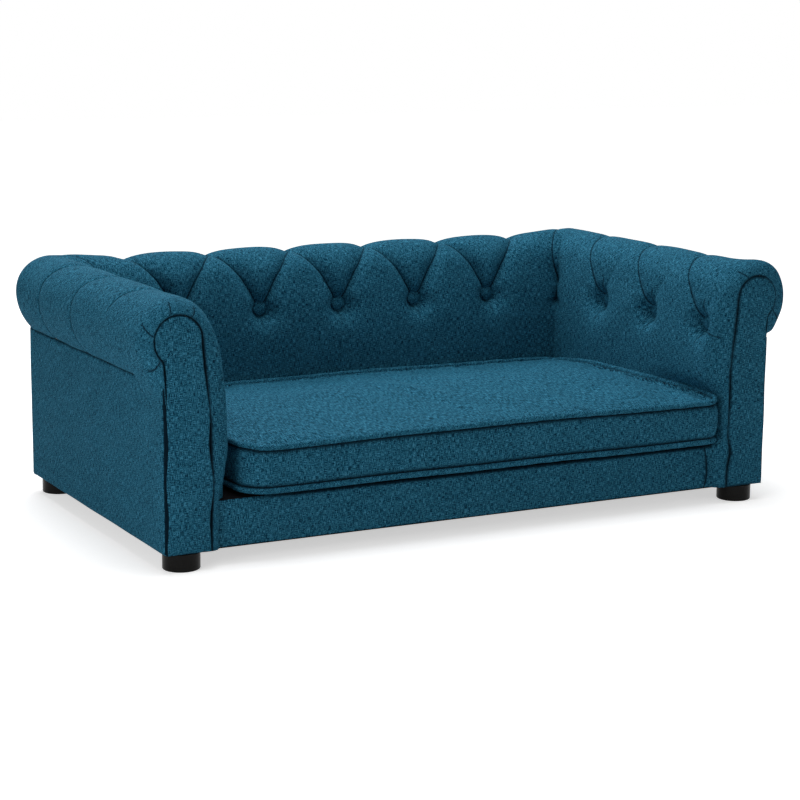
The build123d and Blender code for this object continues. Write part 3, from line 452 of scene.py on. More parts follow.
def cubic(t, *pulls):
    """Cubic curve at t, from 0 to 1: it runs from the first of its four pulls to the last and is drawn toward
    the two between."""
    shares = ((1 - t) ** 3, 3 * (1 - t) ** 2 * t, 3 * (1 - t) * t**2, t**3)
    return sum(share * pull for share, pull in zip(shares, pulls))


def roll_profile():
    """Untufted outline across the run, as points (out, up): a straight face, a cubic curve that leans out
    to the roll, then an arc whose radius grows as the square of the turn below the outermost point."""
    lean = math.radians(lean_turn)
    touch = np.array([roll_u - roll_radius * math.cos(lean), roll_z + roll_radius * math.sin(lean)])
    start = np.array([face_u, face_top_z])
    pulls = start + (0, 0.045), touch - 0.04 * np.array([math.sin(lean), math.cos(lean)])
    t = np.linspace(0, 1, 80)[1:, None]
    curve = cubic(t, start, *pulls, touch)
    face = np.stack([np.full(90, face_u), np.linspace(cloth_low_z, face_top_z, 90)], axis=1)
    turn = np.linspace(180 - lean_turn, seam_turn, 300)[1:]
    radius = roll_radius + (seam_radius - roll_radius) * np.clip(turn / seam_turn, 0, 1) ** 2
    turn = np.radians(turn)
    arc = np.stack([roll_u + radius * np.cos(turn), roll_z + radius * np.sin(turn)], axis=1)
    return np.concatenate([face, curve, arc])


profile = roll_profile()
profile_length = np.concatenate([[0], np.cumsum(np.hypot(*np.diff(profile, axis=0).T))])
# The outline's first 160 points only rise, so a height names one place on them.
button_length = np.interp(button_z, profile[:160, 1], profile_length[:160])
profile_around = profile_length - button_length
around_low, around_seam = profile_around[0], profile_around[-1]
around_crest = profile_around[np.argmax(profile[:, 1])]


def near_line(along, around, start, end):
    """Signed distance from the straight line between two points of the cloth, and the share of it passed."""
    reach = (end[0] - start[0], end[1] - start[1])
    share = ((along - start[0]) * reach[0] + (around - start[1]) * reach[1]) / (reach[0] ** 2 + reach[1] ** 2)
    share = np.clip(share, 0, 1)
    off = (along - start[0] - share * reach[0], around - start[1] - share * reach[1])
    side = np.where(off[0] * reach[1] - off[1] * reach[0] < 0, -1.0, 1.0)
    return side * np.hypot(*off), share


def pit(distance, depth):
    """Hollow round a button: full depth under it, then a bell-like fall with the distance."""
    return depth * np.exp(-(np.maximum(distance - 0.009, 0) / 0.011) ** 1.2)


def smooth(share):
    """Smooth step from 0 to 1."""
    share = np.clip(share, 0, 1)
    return share**2 * (3 - 2 * share)


def bell(offset, width):
    """Bell curve: 1 where offset is 0, and nearly 0 from twice the width on."""
    return np.exp(-((offset / width) ** 2))


def off_crease(to_mitre, around, side):
    """Signed distance from the crease that climbs from the corner button: it leaves the mitre for the
    back's side and reaches the crest 23 mm from it. side is 1 on the arm and -1 on the back."""
    return to_mitre + side * 0.023 * smooth(around / around_crest)


def mitre_pleat(to_mitre, around, side):
    """Hollow of the corner button and of the crease above it, which fades to a thin line over the roll."""
    hollow = pit(np.hypot(1.2 * to_mitre, around), 0.021)
    deep = 0.018 * bell(around, 0.045) * smooth((around + 0.02) / 0.02)
    deep = (deep + 0.0016 * smooth(around / 0.03)) * smooth((around_crest + 0.05 - around) / 0.03)
    off = np.abs(off_crease(to_mitre, around, side))
    fallen = deep * np.exp(-off / (0.006 + 0.10 * np.maximum(0.05 - around, 0)))
    return (hollow**3 + fallen**3) ** (1 / 3)


def fold_reach(around):
    """How far behind its button an arm's fold has come: a quarter sine that bends up and over the roll."""
    return 0.087 * np.sin(math.pi / 2 * np.clip(around / 0.19, 0, 1))


def arm_fold(along, around, button, end):
    """Depth, distance and painted shade of the fold that runs back from an arm's button and over the roll.

    Its rear lip drops steeply and its front slopes gently. The depth falls from the button by an
    exponential, with a dip on the crest where the spare cloth gathers in small loops, and it fades out past
    end."""
    slant = np.hypot(1, np.gradient(fold_reach(around[0]), around[0]))[None, :]
    distance = (along - button - fold_reach(around)) / slant
    crest = bell(around - around_crest, 0.030)
    loops = 0.0007 * crest * np.sin(around * 780 + along * 300) * bell(distance, 0.007)
    deep = 0.019 * np.exp(-np.maximum(around, 0) / 0.026) + 0.0040 * crest + 0.0013
    deep = deep * smooth((around + 0.012) / 0.012) * smooth((end - around) / 0.03)
    fall = np.where(distance > 0, np.exp(-distance / (0.0035 + 0.004 * crest)), np.exp(distance / 0.010))
    # Painted shade along the fold's crease line.
    dark = 0.9 * smooth((around - 0.004) / 0.008) * smooth((end - around) / 0.02)
    return deep * fall, loops, distance, dark * bell(distance, crease_reach)


def tufting(along, around, to_mitre, side, buttons, pleats, folds):
    """Depth that tufting draws the cloth in, and the crease distance and the strength of the painted shade in
    the creases, for the material.

    Each pleat is (start, end, depth at both ends, spread at both ends, strength of its painted shade): its
    depth falls by an exponential on both sides. All hollows join as the cube root of the sum of their cubes."""
    total = mitre_pleat(to_mitre, around, side) ** 3
    clear = smooth(to_mitre / 0.03)
    crease = off_crease(to_mitre, around, side)
    # Painted shade along the crease that climbs from the corner button.
    show = 0.9 * np.interp(around, (0, 0.01, around_crest, around_crest + 0.04), (0, 1, 1, 0))
    show = show * bell(crease, crease_reach)
    loose = 0 * along
    for button in buttons:
        total = total + (clear * pit(np.hypot(along - button, around), 0.027)) ** 3
    for button, end in folds:
        depth, loops, distance, strength = arm_fold(along, around, button, end)
        total = total + (clear * depth) ** 3
        loose = loose + clear * loops
        crease = np.where(clear * strength > show, distance, crease)
        show = np.maximum(show, clear * strength)
    # The last number of each pleat is the strength of the painted shade along its crease.
    for start, end, depths, spreads, dark in pleats:
        distance, share = near_line(along, around, start, end)
        depth = depths[1] + (depths[0] - depths[1]) * (1 - share) ** 1.3
        spread = spreads[0] + (spreads[1] - spreads[0]) * share
        total = total + (clear * depth * np.exp(-np.abs(distance) / spread)) ** 3
        strength = clear * dark * np.clip((1 - share) * 8, 0, 1) * bell(distance, crease_reach)
        crease = np.where(strength > show, distance, crease)
        show = np.maximum(show, strength)
    return total ** (1 / 3) + loose, crease, show


def seam_bend(side, height):
    """How far the inner front seam of an arm wanders toward the seat, low down, where hand sewing let it
    drift."""
    if side < 0:
        return 0.0026 * bell(height - 0.110, 0.030)
    return 0.001 * bell(height - 0.105, 0.012) - 0.0042 * bell(height - 0.078, 0.015)


def under_roll(along, around, turn, out, up):
    """Front of the arm's outer side, where no seam parts the roll from the side: from 20 degrees under its
    outermost point the cloth leaves the roll on a cubic curve that runs down into the side panel. Gives the
    moved points, the cloth coordinate down them, and how far each has left the roll."""
    left = smooth((-0.183 - along) / 0.032) * (turn < leave_turn)
    t = np.clip((leave_turn - turn) / (leave_turn - seam_turn), 0, 1)
    pulls = ((0.4977, 0.2835), (0.4902, 0.2628), (0.4753, 0.240), (0.4750, 0.222))
    path = [cubic(t, *places) for places in zip(*pulls)]
    moved_out = out + left * (path[0] - out)
    moved_up = up + left * (path[1] - up)
    return moved_out, moved_up, around + left * t * (around_seam + seam_z - moved_up - around), left


def board_outline(turn, height, left):
    """Scroll outline of the boards beside each point of the padding: its stem by height, its head by turn,
    and lower down its outer side where the cloth has left the roll."""
    stem = (stem_u + 0.010 * np.clip((height - face_top_z) / (head_z - face_top_z), 0, 1), height)
    round_turn = np.radians(np.maximum(turn, tuck_turn))
    head = (head_u + board_radius * np.cos(round_turn), head_z + board_radius * np.sin(round_turn))
    tuck = np.clip((tuck_turn - turn) / (tuck_turn - seam_turn), 0, 1)
    head = (head[0] + tuck * (0.470 - head[0]), head[1] + tuck * (seam_z - 0.025 * left - head[1]))
    inside = turn > 180
    return np.where(inside, stem[0], head[0]), np.where(inside, stem[1], head[1])


def tufted_run(first, crossing, share, buttons, pleats, folds=(), ahead=None):
    """Cloth of a tufted run as (out, along, up), its cloth coordinates and its crease marks, which paint
    shade into its creases and seams.

    share places the columns from first to the mitre. Inside the roll's middle they run straight to the
    mitre; outside it they turn round the crossing of the two rolls. An arm has columns ahead of these, each
    a place, how full the padding is there, from the boards' outline to the whole section, and its place on
    the cloth."""
    places = np.interp(np.linspace(0, 1, 204), (0, 0.12, 0.74, 1), (around_low, -0.06, 0.135, around_seam))
    base = [np.interp(places, profile_around, profile[:, axis]) for axis in (0, 1)]
    slope = [np.interp(places, profile_around, np.gradient(profile[:, axis], profile_around))
             for axis in (0, 1)]
    slant = np.hypot(*slope)
    normal = (-slope[1] / slant, slope[0] / slant)
    side = -1 if ahead is None else 1
    mitre_out = base[0] - normal[0] * mitre_pleat(0.0, places, side)
    outer = mitre_out > roll_u
    length = crossing - first + (mitre_out - roll_u) * np.where(outer, math.pi / 4, 1.0)
    distance = share[:, None] * length[None, :]
    along = first + distance
    to_mitre = length[None, :] - distance
    full, cloth_along = np.ones_like(along), along
    if ahead is not None:
        cloth_along = np.concatenate([ahead[:, 2:] + 0 * length[None, :], along])
        along = np.concatenate([ahead[:, :1] + 0 * length[None, :], along])
        to_mitre = np.concatenate([np.ones((len(ahead), len(places))), to_mitre])
        full = np.concatenate([ahead[:, 1:2] + 0 * length[None, :], full])
    around = places[None, :] + 0 * along
    depth, crease, show = tufting(along, around, to_mitre, side, buttons, pleats, folds)
    depth = depth + 0.0006 * ripple(along, around) * np.clip(to_mitre / 0.02, 0, 1)
    out = base[0] - normal[0] * depth
    up = base[1] - normal[1] * depth
    turn = np.degrees(np.arctan2(base[1] - roll_z, base[0] - roll_u))
    turn = np.where(turn < seam_turn - 1, turn + 360, turn)
    cloth_around, left = around, 0.0
    under_seam = around_seam - around
    # Painted shade along the seam under the roll; on an arm, also along the seam round its facing.
    under_seam_shade = 0.8 * bell(under_seam, crease_reach)
    if ahead is not None:
        out, up, cloth_around, left = under_roll(along, around, turn, out, up)
        under_seam_shade = under_seam_shade * smooth((along + 0.197) / 0.02) * (0.75 + 0.25 * smooth((along + 0.05) / 0.1))
        front_seam = 0.42 * np.maximum(cloth_along - ahead[2, 2], 0)
        front_seam_shade = 0.97 * bell(front_seam, crease_reach)
        crease = np.where(front_seam_shade > show, front_seam, crease)
        show = np.maximum(show, front_seam_shade)
    crease = np.where(under_seam_shade > show, under_seam, crease)
    show = np.maximum(show, under_seam_shade)
    board = board_outline(turn, base[1], left)
    out = board[0] + (out - board[0]) * full
    up = board[1] + (up - board[1]) * full
    beyond = outer[None, :] & (along > crossing)
    round_turn = np.where(beyond, (along - crossing) / np.maximum(mitre_out - roll_u, 1e-6), 0)
    placed_out = np.where(beyond, roll_u + (out - roll_u) * np.cos(round_turn), out)
    placed_along = np.where(beyond, crossing + (out - roll_u) * np.sin(round_turn), along)
    hem = 0.010 * np.array([1, -1])
    fields = [placed_out, placed_along, up, cloth_along, cloth_around, crease, show]
    fields = [np.concatenate([field[:, :1], field, field[:, -1:]], axis=1) for field in fields]
    fields[0][:, [0, -1]] += hem
    fields[4][:, [0, -1]] -= hem
    marks = {"crease": fields[5], "crease_shade_strength": fields[6]}
    return np.stack(fields[:3], axis=-1), np.stack(fields[3:5], axis=-1), marks


# The arm's front end: the padding rounds off in a quarter circle, and its cloth is tucked in behind the
# facing's edge.
front_turn = np.radians(np.linspace(0, 90, 16))[:-1]
front_columns = np.stack([arm_front_y + front_round * (1 - np.cos(front_turn)), np.sin(front_turn),
                          arm_front_y - 0.016 + 0.050 * front_turn / (math.pi / 2)], axis=1)
groove_columns = np.array([[arm_front_y + 0.009, -0.01, arm_front_y - 0.025],
                           [arm_front_y + 0.004, -0.005, arm_front_y - 0.020]])
front_columns = np.concatenate([groove_columns, front_columns])
# From each button a soft hollow climbs forward to the crest, and short creases run up and down. One more
# runs from the first button to the front.
# The last number of each pleat is the strength of the painted shade along its crease.
arm_pleats = []
for button_y in arm_buttons_y:
    arm_pleats += [
        ((button_y, 0.0), (button_y - arm_pleat_reach, around_crest), (0.008, 0.0), (0.012, 0.026), 0.0),
        ((button_y - 0.002, 0.010), (button_y - 0.007, 0.040), (0.006, 0.0), (0.0035, 0.005), 0.85),
        ((button_y, -0.008), (button_y + 0.004, -0.032), (0.005, 0.0), (0.0035, 0.005), 0.6)]
arm_pleats.append(((-0.223, -0.004), (-0.272, -0.016), (0.0022, 0.0014), (0.0025, 0.003), 0.8))
arm_folds = list(zip(arm_buttons_y, (0.195, 0.30, 0.30)))
# Gathers behind the facings, which differ from arm to arm: a place round the cloth, how far back the gather
# runs, and how far it shifts round the cloth on its way.
gathers = {
    "left": ((0.095, 0.012, 0.006), (0.140, 0.014, -0.004), (0.195, 0.020, -0.012), (0.245, 0.018, -0.006)),
    "right": ((0.098, 0.011, -0.004), (0.235, 0.016, 0.002))}
lip = arm_front_y + 0.001
cushion_skew = 0.0165
for side_name, side in (("left", -1), ("right", 1)):
    # Each gather's crease gets painted shade.
    arm_gathers = [((lip, start), (lip + reach, start + shift), (0.0032, 0.0), (0.0025, 0.003), 0.95)
                   for start, reach, shift in gathers[side_name]]
    cloth_points, cloth_flat, cloth_marks = tufted_run(
        arm_front_y + front_round, arm_crossing, np.linspace(0, 1, 262), arm_buttons_y,
        arm_pleats + arm_gathers, arm_folds, front_columns)
    lip_x, lip_y, lip_z = np.moveaxis(cloth_points, -1, 0)
    if side > 0:
        # The leaning cushion presses the face in, and the front end puffs out past its facing.
        inner = (lip_x < lip_u) * np.clip((stem_u - lip_x) / 0.029, 0, 1)
        pressed = smooth((lip_z - 0.080) / 0.02) * smooth((0.185 - lip_z) / 0.03)
        pressed = pressed * smooth((-0.075 - lip_y) / 0.15)
        cloth_points[:, :, 0] += cushion_skew * inner * pressed
        beyond = np.stack([lip_x - roll_u, lip_z - roll_z], axis=-1)
        beyond = beyond / np.maximum(np.hypot(*np.moveaxis(beyond, -1, 0)), 1e-6)[:, :, None]
        puffed = (lip_x > roll_u) * smooth((lip_x - roll_u) / 0.04) * smooth((lip_z - 0.243) / 0.02)
        puffed = 0.0125 * puffed * bell(lip_y + 0.265, np.where(lip_y < -0.265, 0.009, 0.035))
        cloth_points[:, :, [0, 2]] += beyond * (puffed * smooth((lip_y - arm_front_y) / 0.006))[:, :, None]
    else:
        # The lip beside the facing stands toward the seat above the cushion, and away from it lower down.
        pushed = smooth((lip_z - 0.125) / 0.03) * smooth((0.34 - lip_z) / 0.06)
        pushed = pushed - 1.7 * smooth((0.125 - lip_z) / 0.03)
        pushed = pushed * (lip_x < lip_u) * np.clip((stem_u - lip_x) / 0.008, 0, 1)
        cloth_points[:, :, 0] -= 0.0048 * pushed * bell(lip_y + 0.2626, 0.011)
    rounded = np.sqrt(1 - (1 - np.clip((lip_y - arm_front_y) / front_round, 0, 1)) ** 2)
    cloth_points[:, :, 0] -= (lip_x < lip_u) * (1 - rounded) * seam_bend(side, lip_z)
    cloth_points = cloth_points * (side, 1, 1)
    arm_cloth = new_piece(f"arm_cloth_{side_name}", sofa_linen,
                          grid(cloth_points, cloth_flat, cloth_marks, side < 0))
    dress(arm_cloth, "sofa", "linen_fabric", f"arm_cover_{side_name}", f"arm_foam_{side_name}", fill=0.8)

# Back cover: the same cloth and the same roll between the two mitres, with five buttons and pleats that
# spread from each like a V to the dips beside it and run straight over the roll.
back_pitch = 0.13317
back_buttons_x = [button * back_pitch for button in (0, 1, 2)]
# The last number of each pleat is the strength of the painted shade along its crease.
back_pleats = []
for button_x in back_buttons_x:
    dip = button_x + back_pitch / 2
    for end_x in (button_x - back_pitch / 2, dip):
        back_pleats.append(((button_x, 0.0), (end_x, around_crest), (0.022, 0.0095), (0.007, 0.015), 0.85))
    back_pleats.append(((button_x, -0.008), (button_x + 0.003, -0.030), (0.005, 0.0), (0.004, 0.005), 0.4))
    back_pleats.append(((dip, around_crest), (dip, around_seam), (0.0095, 0.002), (0.015, 0.018), 0.8))
# One half of the back is worked out, from its middle to the mitre, and the other mirrors it.
half_points, half_flat, half_marks = tufted_run(
    0.0, roll_u, np.linspace(0, 1, 261), back_buttons_x, back_pleats)
other_half = half_points[:0:-1] * (1, -1, 1)
back_points = np.concatenate([other_half, half_points])[:, :, [1, 0, 2]] - (0, mitre_offset, 0)
between_mitres = smooth((0.43 - np.abs(back_points[:, :, 0])) / 0.06)
back_points[:, :, 2] -= 0.0035 * between_mitres * smooth((back_points[:, :, 2] - 0.29) / 0.05)
back_flat = np.concatenate([half_flat[:0:-1] * (-1, 1), half_flat])
back_marks = {mark: np.concatenate([values[:0:-1], values]) for mark, values in half_marks.items()}
back_cloth = new_piece("back_cloth", sofa_linen, grid(back_points, back_flat, back_marks, True))
dress(back_cloth, "sofa", "linen_fabric", "back_cover", "back_foam", fill=0.8)

# Covered buttons: steel caps with a disc of the sofa's cloth pulled over and gathered behind, 22 mm wide
# and 8.5 mm high. Their twines draw them down into the pits.
button_radius, button_high, button_rim = 0.011, 0.0085, 0.003


def covered_button(middle, facing, twist):
    """Dome of a button whose back is centred on middle and looks along facing, its cloth turned by twist.

    Going out, the dome is a cosine arch, then a quarter circle at the rim, then the cloth tucked in behind;
    the rim's cloth is gathered in small waves."""
    facing = np.array(facing) / np.linalg.norm(facing)
    across = np.cross((0.0, 0.0, 1.0), facing)
    across /= np.linalg.norm(across)
    upward = np.cross(facing, across)
    dome = np.linspace(0, 0.84, 12)
    rim = np.radians(np.linspace(25, 180, 10))
    radius = button_radius * np.concatenate([dome, 0.84 + 0.16 * np.sin(rim)])
    arch = button_rim + (button_high - button_rim) * np.cos(dome / 0.84 * 1.2)
    height = np.concatenate([arch, arch[-1] * (0.5 + 0.5 * np.cos(rim))])
    turn = np.linspace(0, 2 * math.pi, 49)[:, None]
    gather = 0.00022 * np.sin(13 * turn + twist) * np.clip((radius / button_radius - 0.6) / 0.4, 0, 1) ** 2
    reach = radius[None, :] + gather
    points = (np.array(middle) + across * (reach * np.cos(turn))[..., None]
              + upward * (reach * np.sin(turn))[..., None] + facing * (height[None, :] + 0 * turn)[..., None])
    cloth = np.stack([reach * np.cos(turn + twist), reach * np.sin(turn + twist)], axis=-1)
    return grid(points, cloth, flip=True)


button_linen = linen("teal_button_linen")
back_button_y, arm_button_u = roll_u - mitre_offset - 0.036, 0.411
corner_u, corner_y = 0.402, 0.188
button_level = button_z + 0.0005
lean_back = 0.09
back_places = [((x, back_button_y, button_level), (0, -1, lean_back), 0.7 * i)
               for i, x in enumerate(back_pitch * np.arange(-2, 3))]
button_sets = {"back_buttons": back_places}
for side_name, side in (("left", -1), ("right", 1)):
    button_sets[f"arm_buttons_{side_name}"] = [
        ((side * arm_button_u, y, button_level), (-side, 0, lean_back), 1.3 * i)
        for i, y in enumerate(arm_buttons_y)]
button_sets["corner_buttons"] = [
    ((side * corner_u, corner_y, button_level), (-side, -1, 1.4 * lean_back), 0.4 * side) for side in (-1, 1)]
for button_node, places in button_sets.items():
    domes = [covered_button(*place) for place in places]
    buttons = new_piece(f"{button_node}_linen", button_linen, *domes, weld=True)
    dress(buttons, "sofa", "button_fabric", button_node)

# Front facings: scroll-shaped boards wrapped in the cloth over thin wadding and pressed into the fronts of
# the arms, so that a seam runs all round them, darkened by painted shade. Their weave lies level.
head_radius = 0.0325
stem_inner_u, stem_outer_u, stem_low_z = 0.4095, 0.4697, 0.0242
facing_front_y, facing_round = -0.2762, 0.0035


def stem_sides(height):
    """Inner and outer edges of the scroll below its head's middle, for heights from its foot up to there."""
    inner = smooth((height - face_top_z) / (head_z - face_top_z))
    inner = stem_inner_u + (head_u - head_radius - stem_inner_u) * inner
    leaving = head_z - height < 0.025
    head_side = head_u + np.sqrt(np.maximum(head_radius**2 - (head_z - height) ** 2, 0))
    swing = head_u + math.sqrt(head_radius**2 - 0.025**2) - stem_outer_u
    stem_side = stem_outer_u + swing * np.clip(1 - (head_z - 0.025 - height) / 0.022, 0, 1) ** 2.2
    flare = 0.0012 * np.clip((0.200 - height) / 0.170, 0, 1)
    return inner, np.where(leaving, head_side, stem_side) + flare


# The scroll's edge runs up the inner side, over the head, down the outer side and back along the foot. Its
# rings shrink from there toward middles, a line up the stem that ends in the head's middle.
levels = np.linspace(stem_low_z, head_z, 90)
inner_side, outer_side = stem_sides(levels)
head_turn = np.radians(np.linspace(180, 0, 50))[1:-1]
foot_share = np.linspace(0, 1, 16)[1:-1]
foot_edge = outer_side[0] + (inner_side[0] - outer_side[0]) * foot_share
scroll = np.concatenate([
    np.stack([inner_side, levels], axis=1),
    np.stack([head_u + head_radius * np.cos(head_turn), head_z + head_radius * np.sin(head_turn)], axis=1),
    np.stack([outer_side, levels], axis=1)[::-1],
    np.stack([foot_edge, np.full(len(foot_share), stem_low_z)], axis=1)])
middle_level = np.clip(levels, stem_low_z + 0.028, None)
middle_u = np.interp(middle_level, (0, face_top_z, head_z), (0.4397, 0.4397, head_u))
middle_line = np.stack([middle_u, middle_level], axis=1)
middles = np.concatenate([middle_line, np.full((len(head_turn), 2), (head_u, head_z)), middle_line[::-1],
                          np.full((len(foot_share), 2), middle_line[0])])
scroll, middles = np.concatenate([scroll, scroll[:1]]), np.concatenate([middles, middles[:1]])
tangent = np.concatenate([scroll[1:2] - scroll[-2:-1], scroll[2:] - scroll[:-2], scroll[1:2] - scroll[-2:-1]])
tangent /= np.hypot(*tangent.T)[:, None]
outward = np.stack([-tangent[:, 1], tangent[:, 0]], axis=1)
scroll_run = np.concatenate([[0], np.cumsum(np.hypot(*np.diff(scroll, axis=0).T))])
around_scroll = scroll_run / scroll_run[-1] * 2 * math.pi
stem_part = smooth((0.26 - scroll[:, 1]) / 0.08) * smooth((scroll[:, 1] - 0.03) / 0.03)
wander = 0.0014 * np.sin(scroll[:, 1] * 62 + 0.6) * stem_part
wander = wander + 0.00012 * np.sin(around_scroll * 23 + 1) * np.sin(around_scroll / 2)
scroll = scroll + outward * wander[:, None]
on_inner = (scroll[:, 0] < head_u) & (scroll[:, 1] < 0.26)
on_outer = 1.0 * ((scroll[:, 0] > 0.455) & (scroll[:, 1] < 0.25))
level_scroll = scroll
inward_shares = np.linspace(0, 1, 14)[1:]
for side_name, side in (("left", -1), ("right", 1)):
    wider = 0.003 * (side > 0) * smooth((level_scroll[:, 0] - 0.452) / 0.015)
    scroll = level_scroll + np.outer(wider - on_inner * seam_bend(side, level_scroll[:, 1]), (1, 0))
    edge_turn = np.radians(np.linspace(90, 0, 8))
    rings = []
    pucker = 0.00035 * np.sin(around_scroll * 31 + side) * np.sin(around_scroll * 7)
    for turn in edge_turn:
        inset = facing_round * (1 - math.sin(turn))
        ring_y = facing_front_y + facing_round * (1 - math.cos(turn))
        rings.append(np.column_stack([scroll - outward * inset, ring_y + pucker * math.cos(turn)]))
    rings.insert(0, np.column_stack([scroll, np.full(len(scroll), facing_front_y + 0.0105)]))
    flat_edge = scroll - outward * facing_round
    for inward in inward_shares:
        ring = flat_edge + (middles - flat_edge) * inward
        pillow = 0.0013 * smooth(inward * 2.5) - pucker * (1 - smooth(inward * 4))
        rings.append(np.column_stack([ring, facing_front_y - pillow]))
    facing_points = np.stack(rings)[:, :, [0, 2, 1]]
    facing_points[:, :, 1] += 0.0004 * ripple(facing_points[:, :, 0], facing_points[:, :, 2])
    facing_cloth = facing_points[:, :, [0, 2]] + (0.4 * side, 0.37)
    # Painted shade along the seam round the facing, lighter on the right facing's outer side.
    seam_scale = (0.36 - 0.12 * side) * facing_round
    seam_gap = np.concatenate([[0], seam_scale * (math.pi / 2 - edge_turn), 0 * inward_shares + 0.01])
    seam_gap = seam_gap[:, None]
    seam_marks = {"crease": seam_gap * (1 + 0.8 * on_outer),
                  "crease_shade_strength": 0 * seam_gap + 0.97 - 0.7 * on_outer * (side > 0)}
    facing_points = facing_points * (side, 1, 1)
    facing = new_piece(f"arm_facing_linen_{side_name}", sofa_linen,
                       grid(facing_points, facing_cloth, seam_marks, side > 0), weld=True)
    dress(facing, "sofa", "linen_fabric", f"arm_facing_{side_name}", fill=1.0)


# Outside panels: the cloth over thin wadding and board, closed off under the rolls by hidden stitches on
# both sides and across the back.
panel_hem = 0.008
side_u = 0.475


def rounded_run(low, high, edge, count):
    """Places from low to high for a panel: quarter circles at both edges and a flat of count places."""
    rounding = edge * (1 - np.cos(np.radians(np.linspace(0, 90, 7))))
    flat = np.linspace(low + edge, high - edge, count)[1:-1]
    return np.concatenate([low + rounding, flat, high - rounding[::-1]])


def outside_panel(low, high, edge, pillow, top_rise):
    """Points (along, out, up) and cloth coordinates of an upright panel from low to high, each (along, up).

    Its edges are quarter circles, its middle swells by pillow, and its top edge rises by top_rise."""
    along, up = np.meshgrid(rounded_run(low[0], high[0], edge, 150), rounded_run(low[1], high[1], edge, 60))
    near_end = np.clip(1 - np.minimum(along - low[0], high[0] - along) / edge, 0, 1)
    near_top = np.clip(1 - np.minimum(up - low[1], high[1] - up) / edge, 0, 1)
    corner = np.minimum(np.hypot(near_end, near_top), 1)
    fall = edge * (1 - np.sqrt(1 - corner**2))
    share = (along - low[0]) / (high[0] - low[0]), (up - low[1]) / (high[1] - low[1])
    swell = pillow * (np.sin(math.pi * share[0]) * np.sin(math.pi * share[1])) ** 0.4
    out = swell - fall + 0.0004 * ripple(along * 0.7, up)
    up = up + top_rise(along) * smooth(share[1] * 4 - 3)
    hems = [np.pad(field, 1, mode="edge") for field in (along, out, up)]
    hems[1][[0, -1]] -= panel_hem
    hems[1][:, [0, -1]] -= panel_hem
    woven = [hems[0].copy(), around_seam + seam_z - hems[2]]
    woven[0][:, [0, -1]] += panel_hem * np.array([-1, 1])
    woven[1][[0, -1]] += panel_hem * np.array([[1], [-1]])
    return np.stack(hems, axis=-1), np.stack(woven, axis=-1)


for side_name, side in (("left", -1), ("right", 1)):
    panel_low, panel_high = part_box(f"side_panel_{side_name}")
    panel, panel_cloth = outside_panel(
        (panel_low.y, panel_low.z), (panel_high.y - 0.0012, panel_high.z), 0.0035, 0.0008,
        lambda along: 0.0035 * smooth((along - 0.232) / 0.014) - 0.0012 * smooth((along + 0.2) / 0.4))
    panel_points = np.stack([side * (side_u + panel[:, :, 1]), panel[:, :, 0], panel[:, :, 2]], axis=-1)
    # Painted shade along the seam under the roll and beside the facing.
    under_seam = panel_high.z - panel[:, :, 2]
    beside_facing = np.maximum(panel[:, :, 0] - panel_low.y - 0.0004, 0) * (2.2 if side < 0 else 4.0)
    at_top = under_seam < 0.012
    panel_seam_shade = 0.9 * smooth((panel[:, :, 0] + 0.197) / 0.02) * at_top
    facing_edge_shade = (0.97 if side < 0 else 0.3) * (panel[:, :, 0] < -0.255)
    panel_marks = {"crease": np.where(at_top & (panel[:, :, 0] > -0.23), under_seam, beside_facing),
                   "crease_shade_strength": np.maximum(panel_seam_shade, facing_edge_shade)}
    side_cloth = new_piece(f"side_panel_linen_{side_name}", sofa_linen,
                           grid(panel_points, panel_cloth, panel_marks, side < 0))
    dress(side_cloth, "sofa", "linen_fabric", f"side_panel_{side_name}", fill=1.0)
panel_low, panel_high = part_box("back_panel")
panel, panel_cloth = outside_panel(
    (panel_low.x - 0.0036, panel_low.z), (panel_high.x + 0.0036, panel_high.z), 0.0025, 0.0008,
    lambda along: 0.0050 * smooth((np.abs(along) - 0.450) / 0.014))
panel_points = np.stack([panel[:, :, 0], panel_high.y + panel[:, :, 1], panel[:, :, 2]], axis=-1)
rear_cloth = new_piece("back_panel_linen", sofa_linen, grid(panel_points, panel_cloth, flip=True))
dress(rear_cloth, "sofa", "linen_fabric", "back_panel", fill=1.0)

# Feet: short round feet, moulded in black plastic with a low gloss. A screw in the middle of each goes into
# an insert in the boards above it.
foot_plastic = toned("black_foot_plastic", 0.22, grains(0.0009, 0.0009, 0.006),
                     (0.3, (0.003, 0.0028, 0.0026)), (0.7, (0.006, 0.0055, 0.005)), Specular_IOR_Level=0.09)
finish_nodes(foot_plastic, "foot_front_left", "foot_front_right", "foot_rear_left", "foot_rear_right")

# Seat cushion: a fitted cover over foam, its crowned panels joined to a straight boxing by piped seams.
# Cloth simulation blows the panels up between their seams; the underside lies flat on the deck.
cushion_half_x, cushion_half_y, cushion_mid_y = 0.3765, 0.2145, -0.0635
cushion_corner, cushion_tight_corner = 0.036, 0.022
welt_low_z, welt_high_z, welt_radius = 0.0962, 0.1535, 0.0039
cushion_low_z, seam_draw = 0.0882, 0.0034
low_bow, high_bow = 0.0005, 0.004
crown_low_z, crown_rise = 0.156, 0.0195


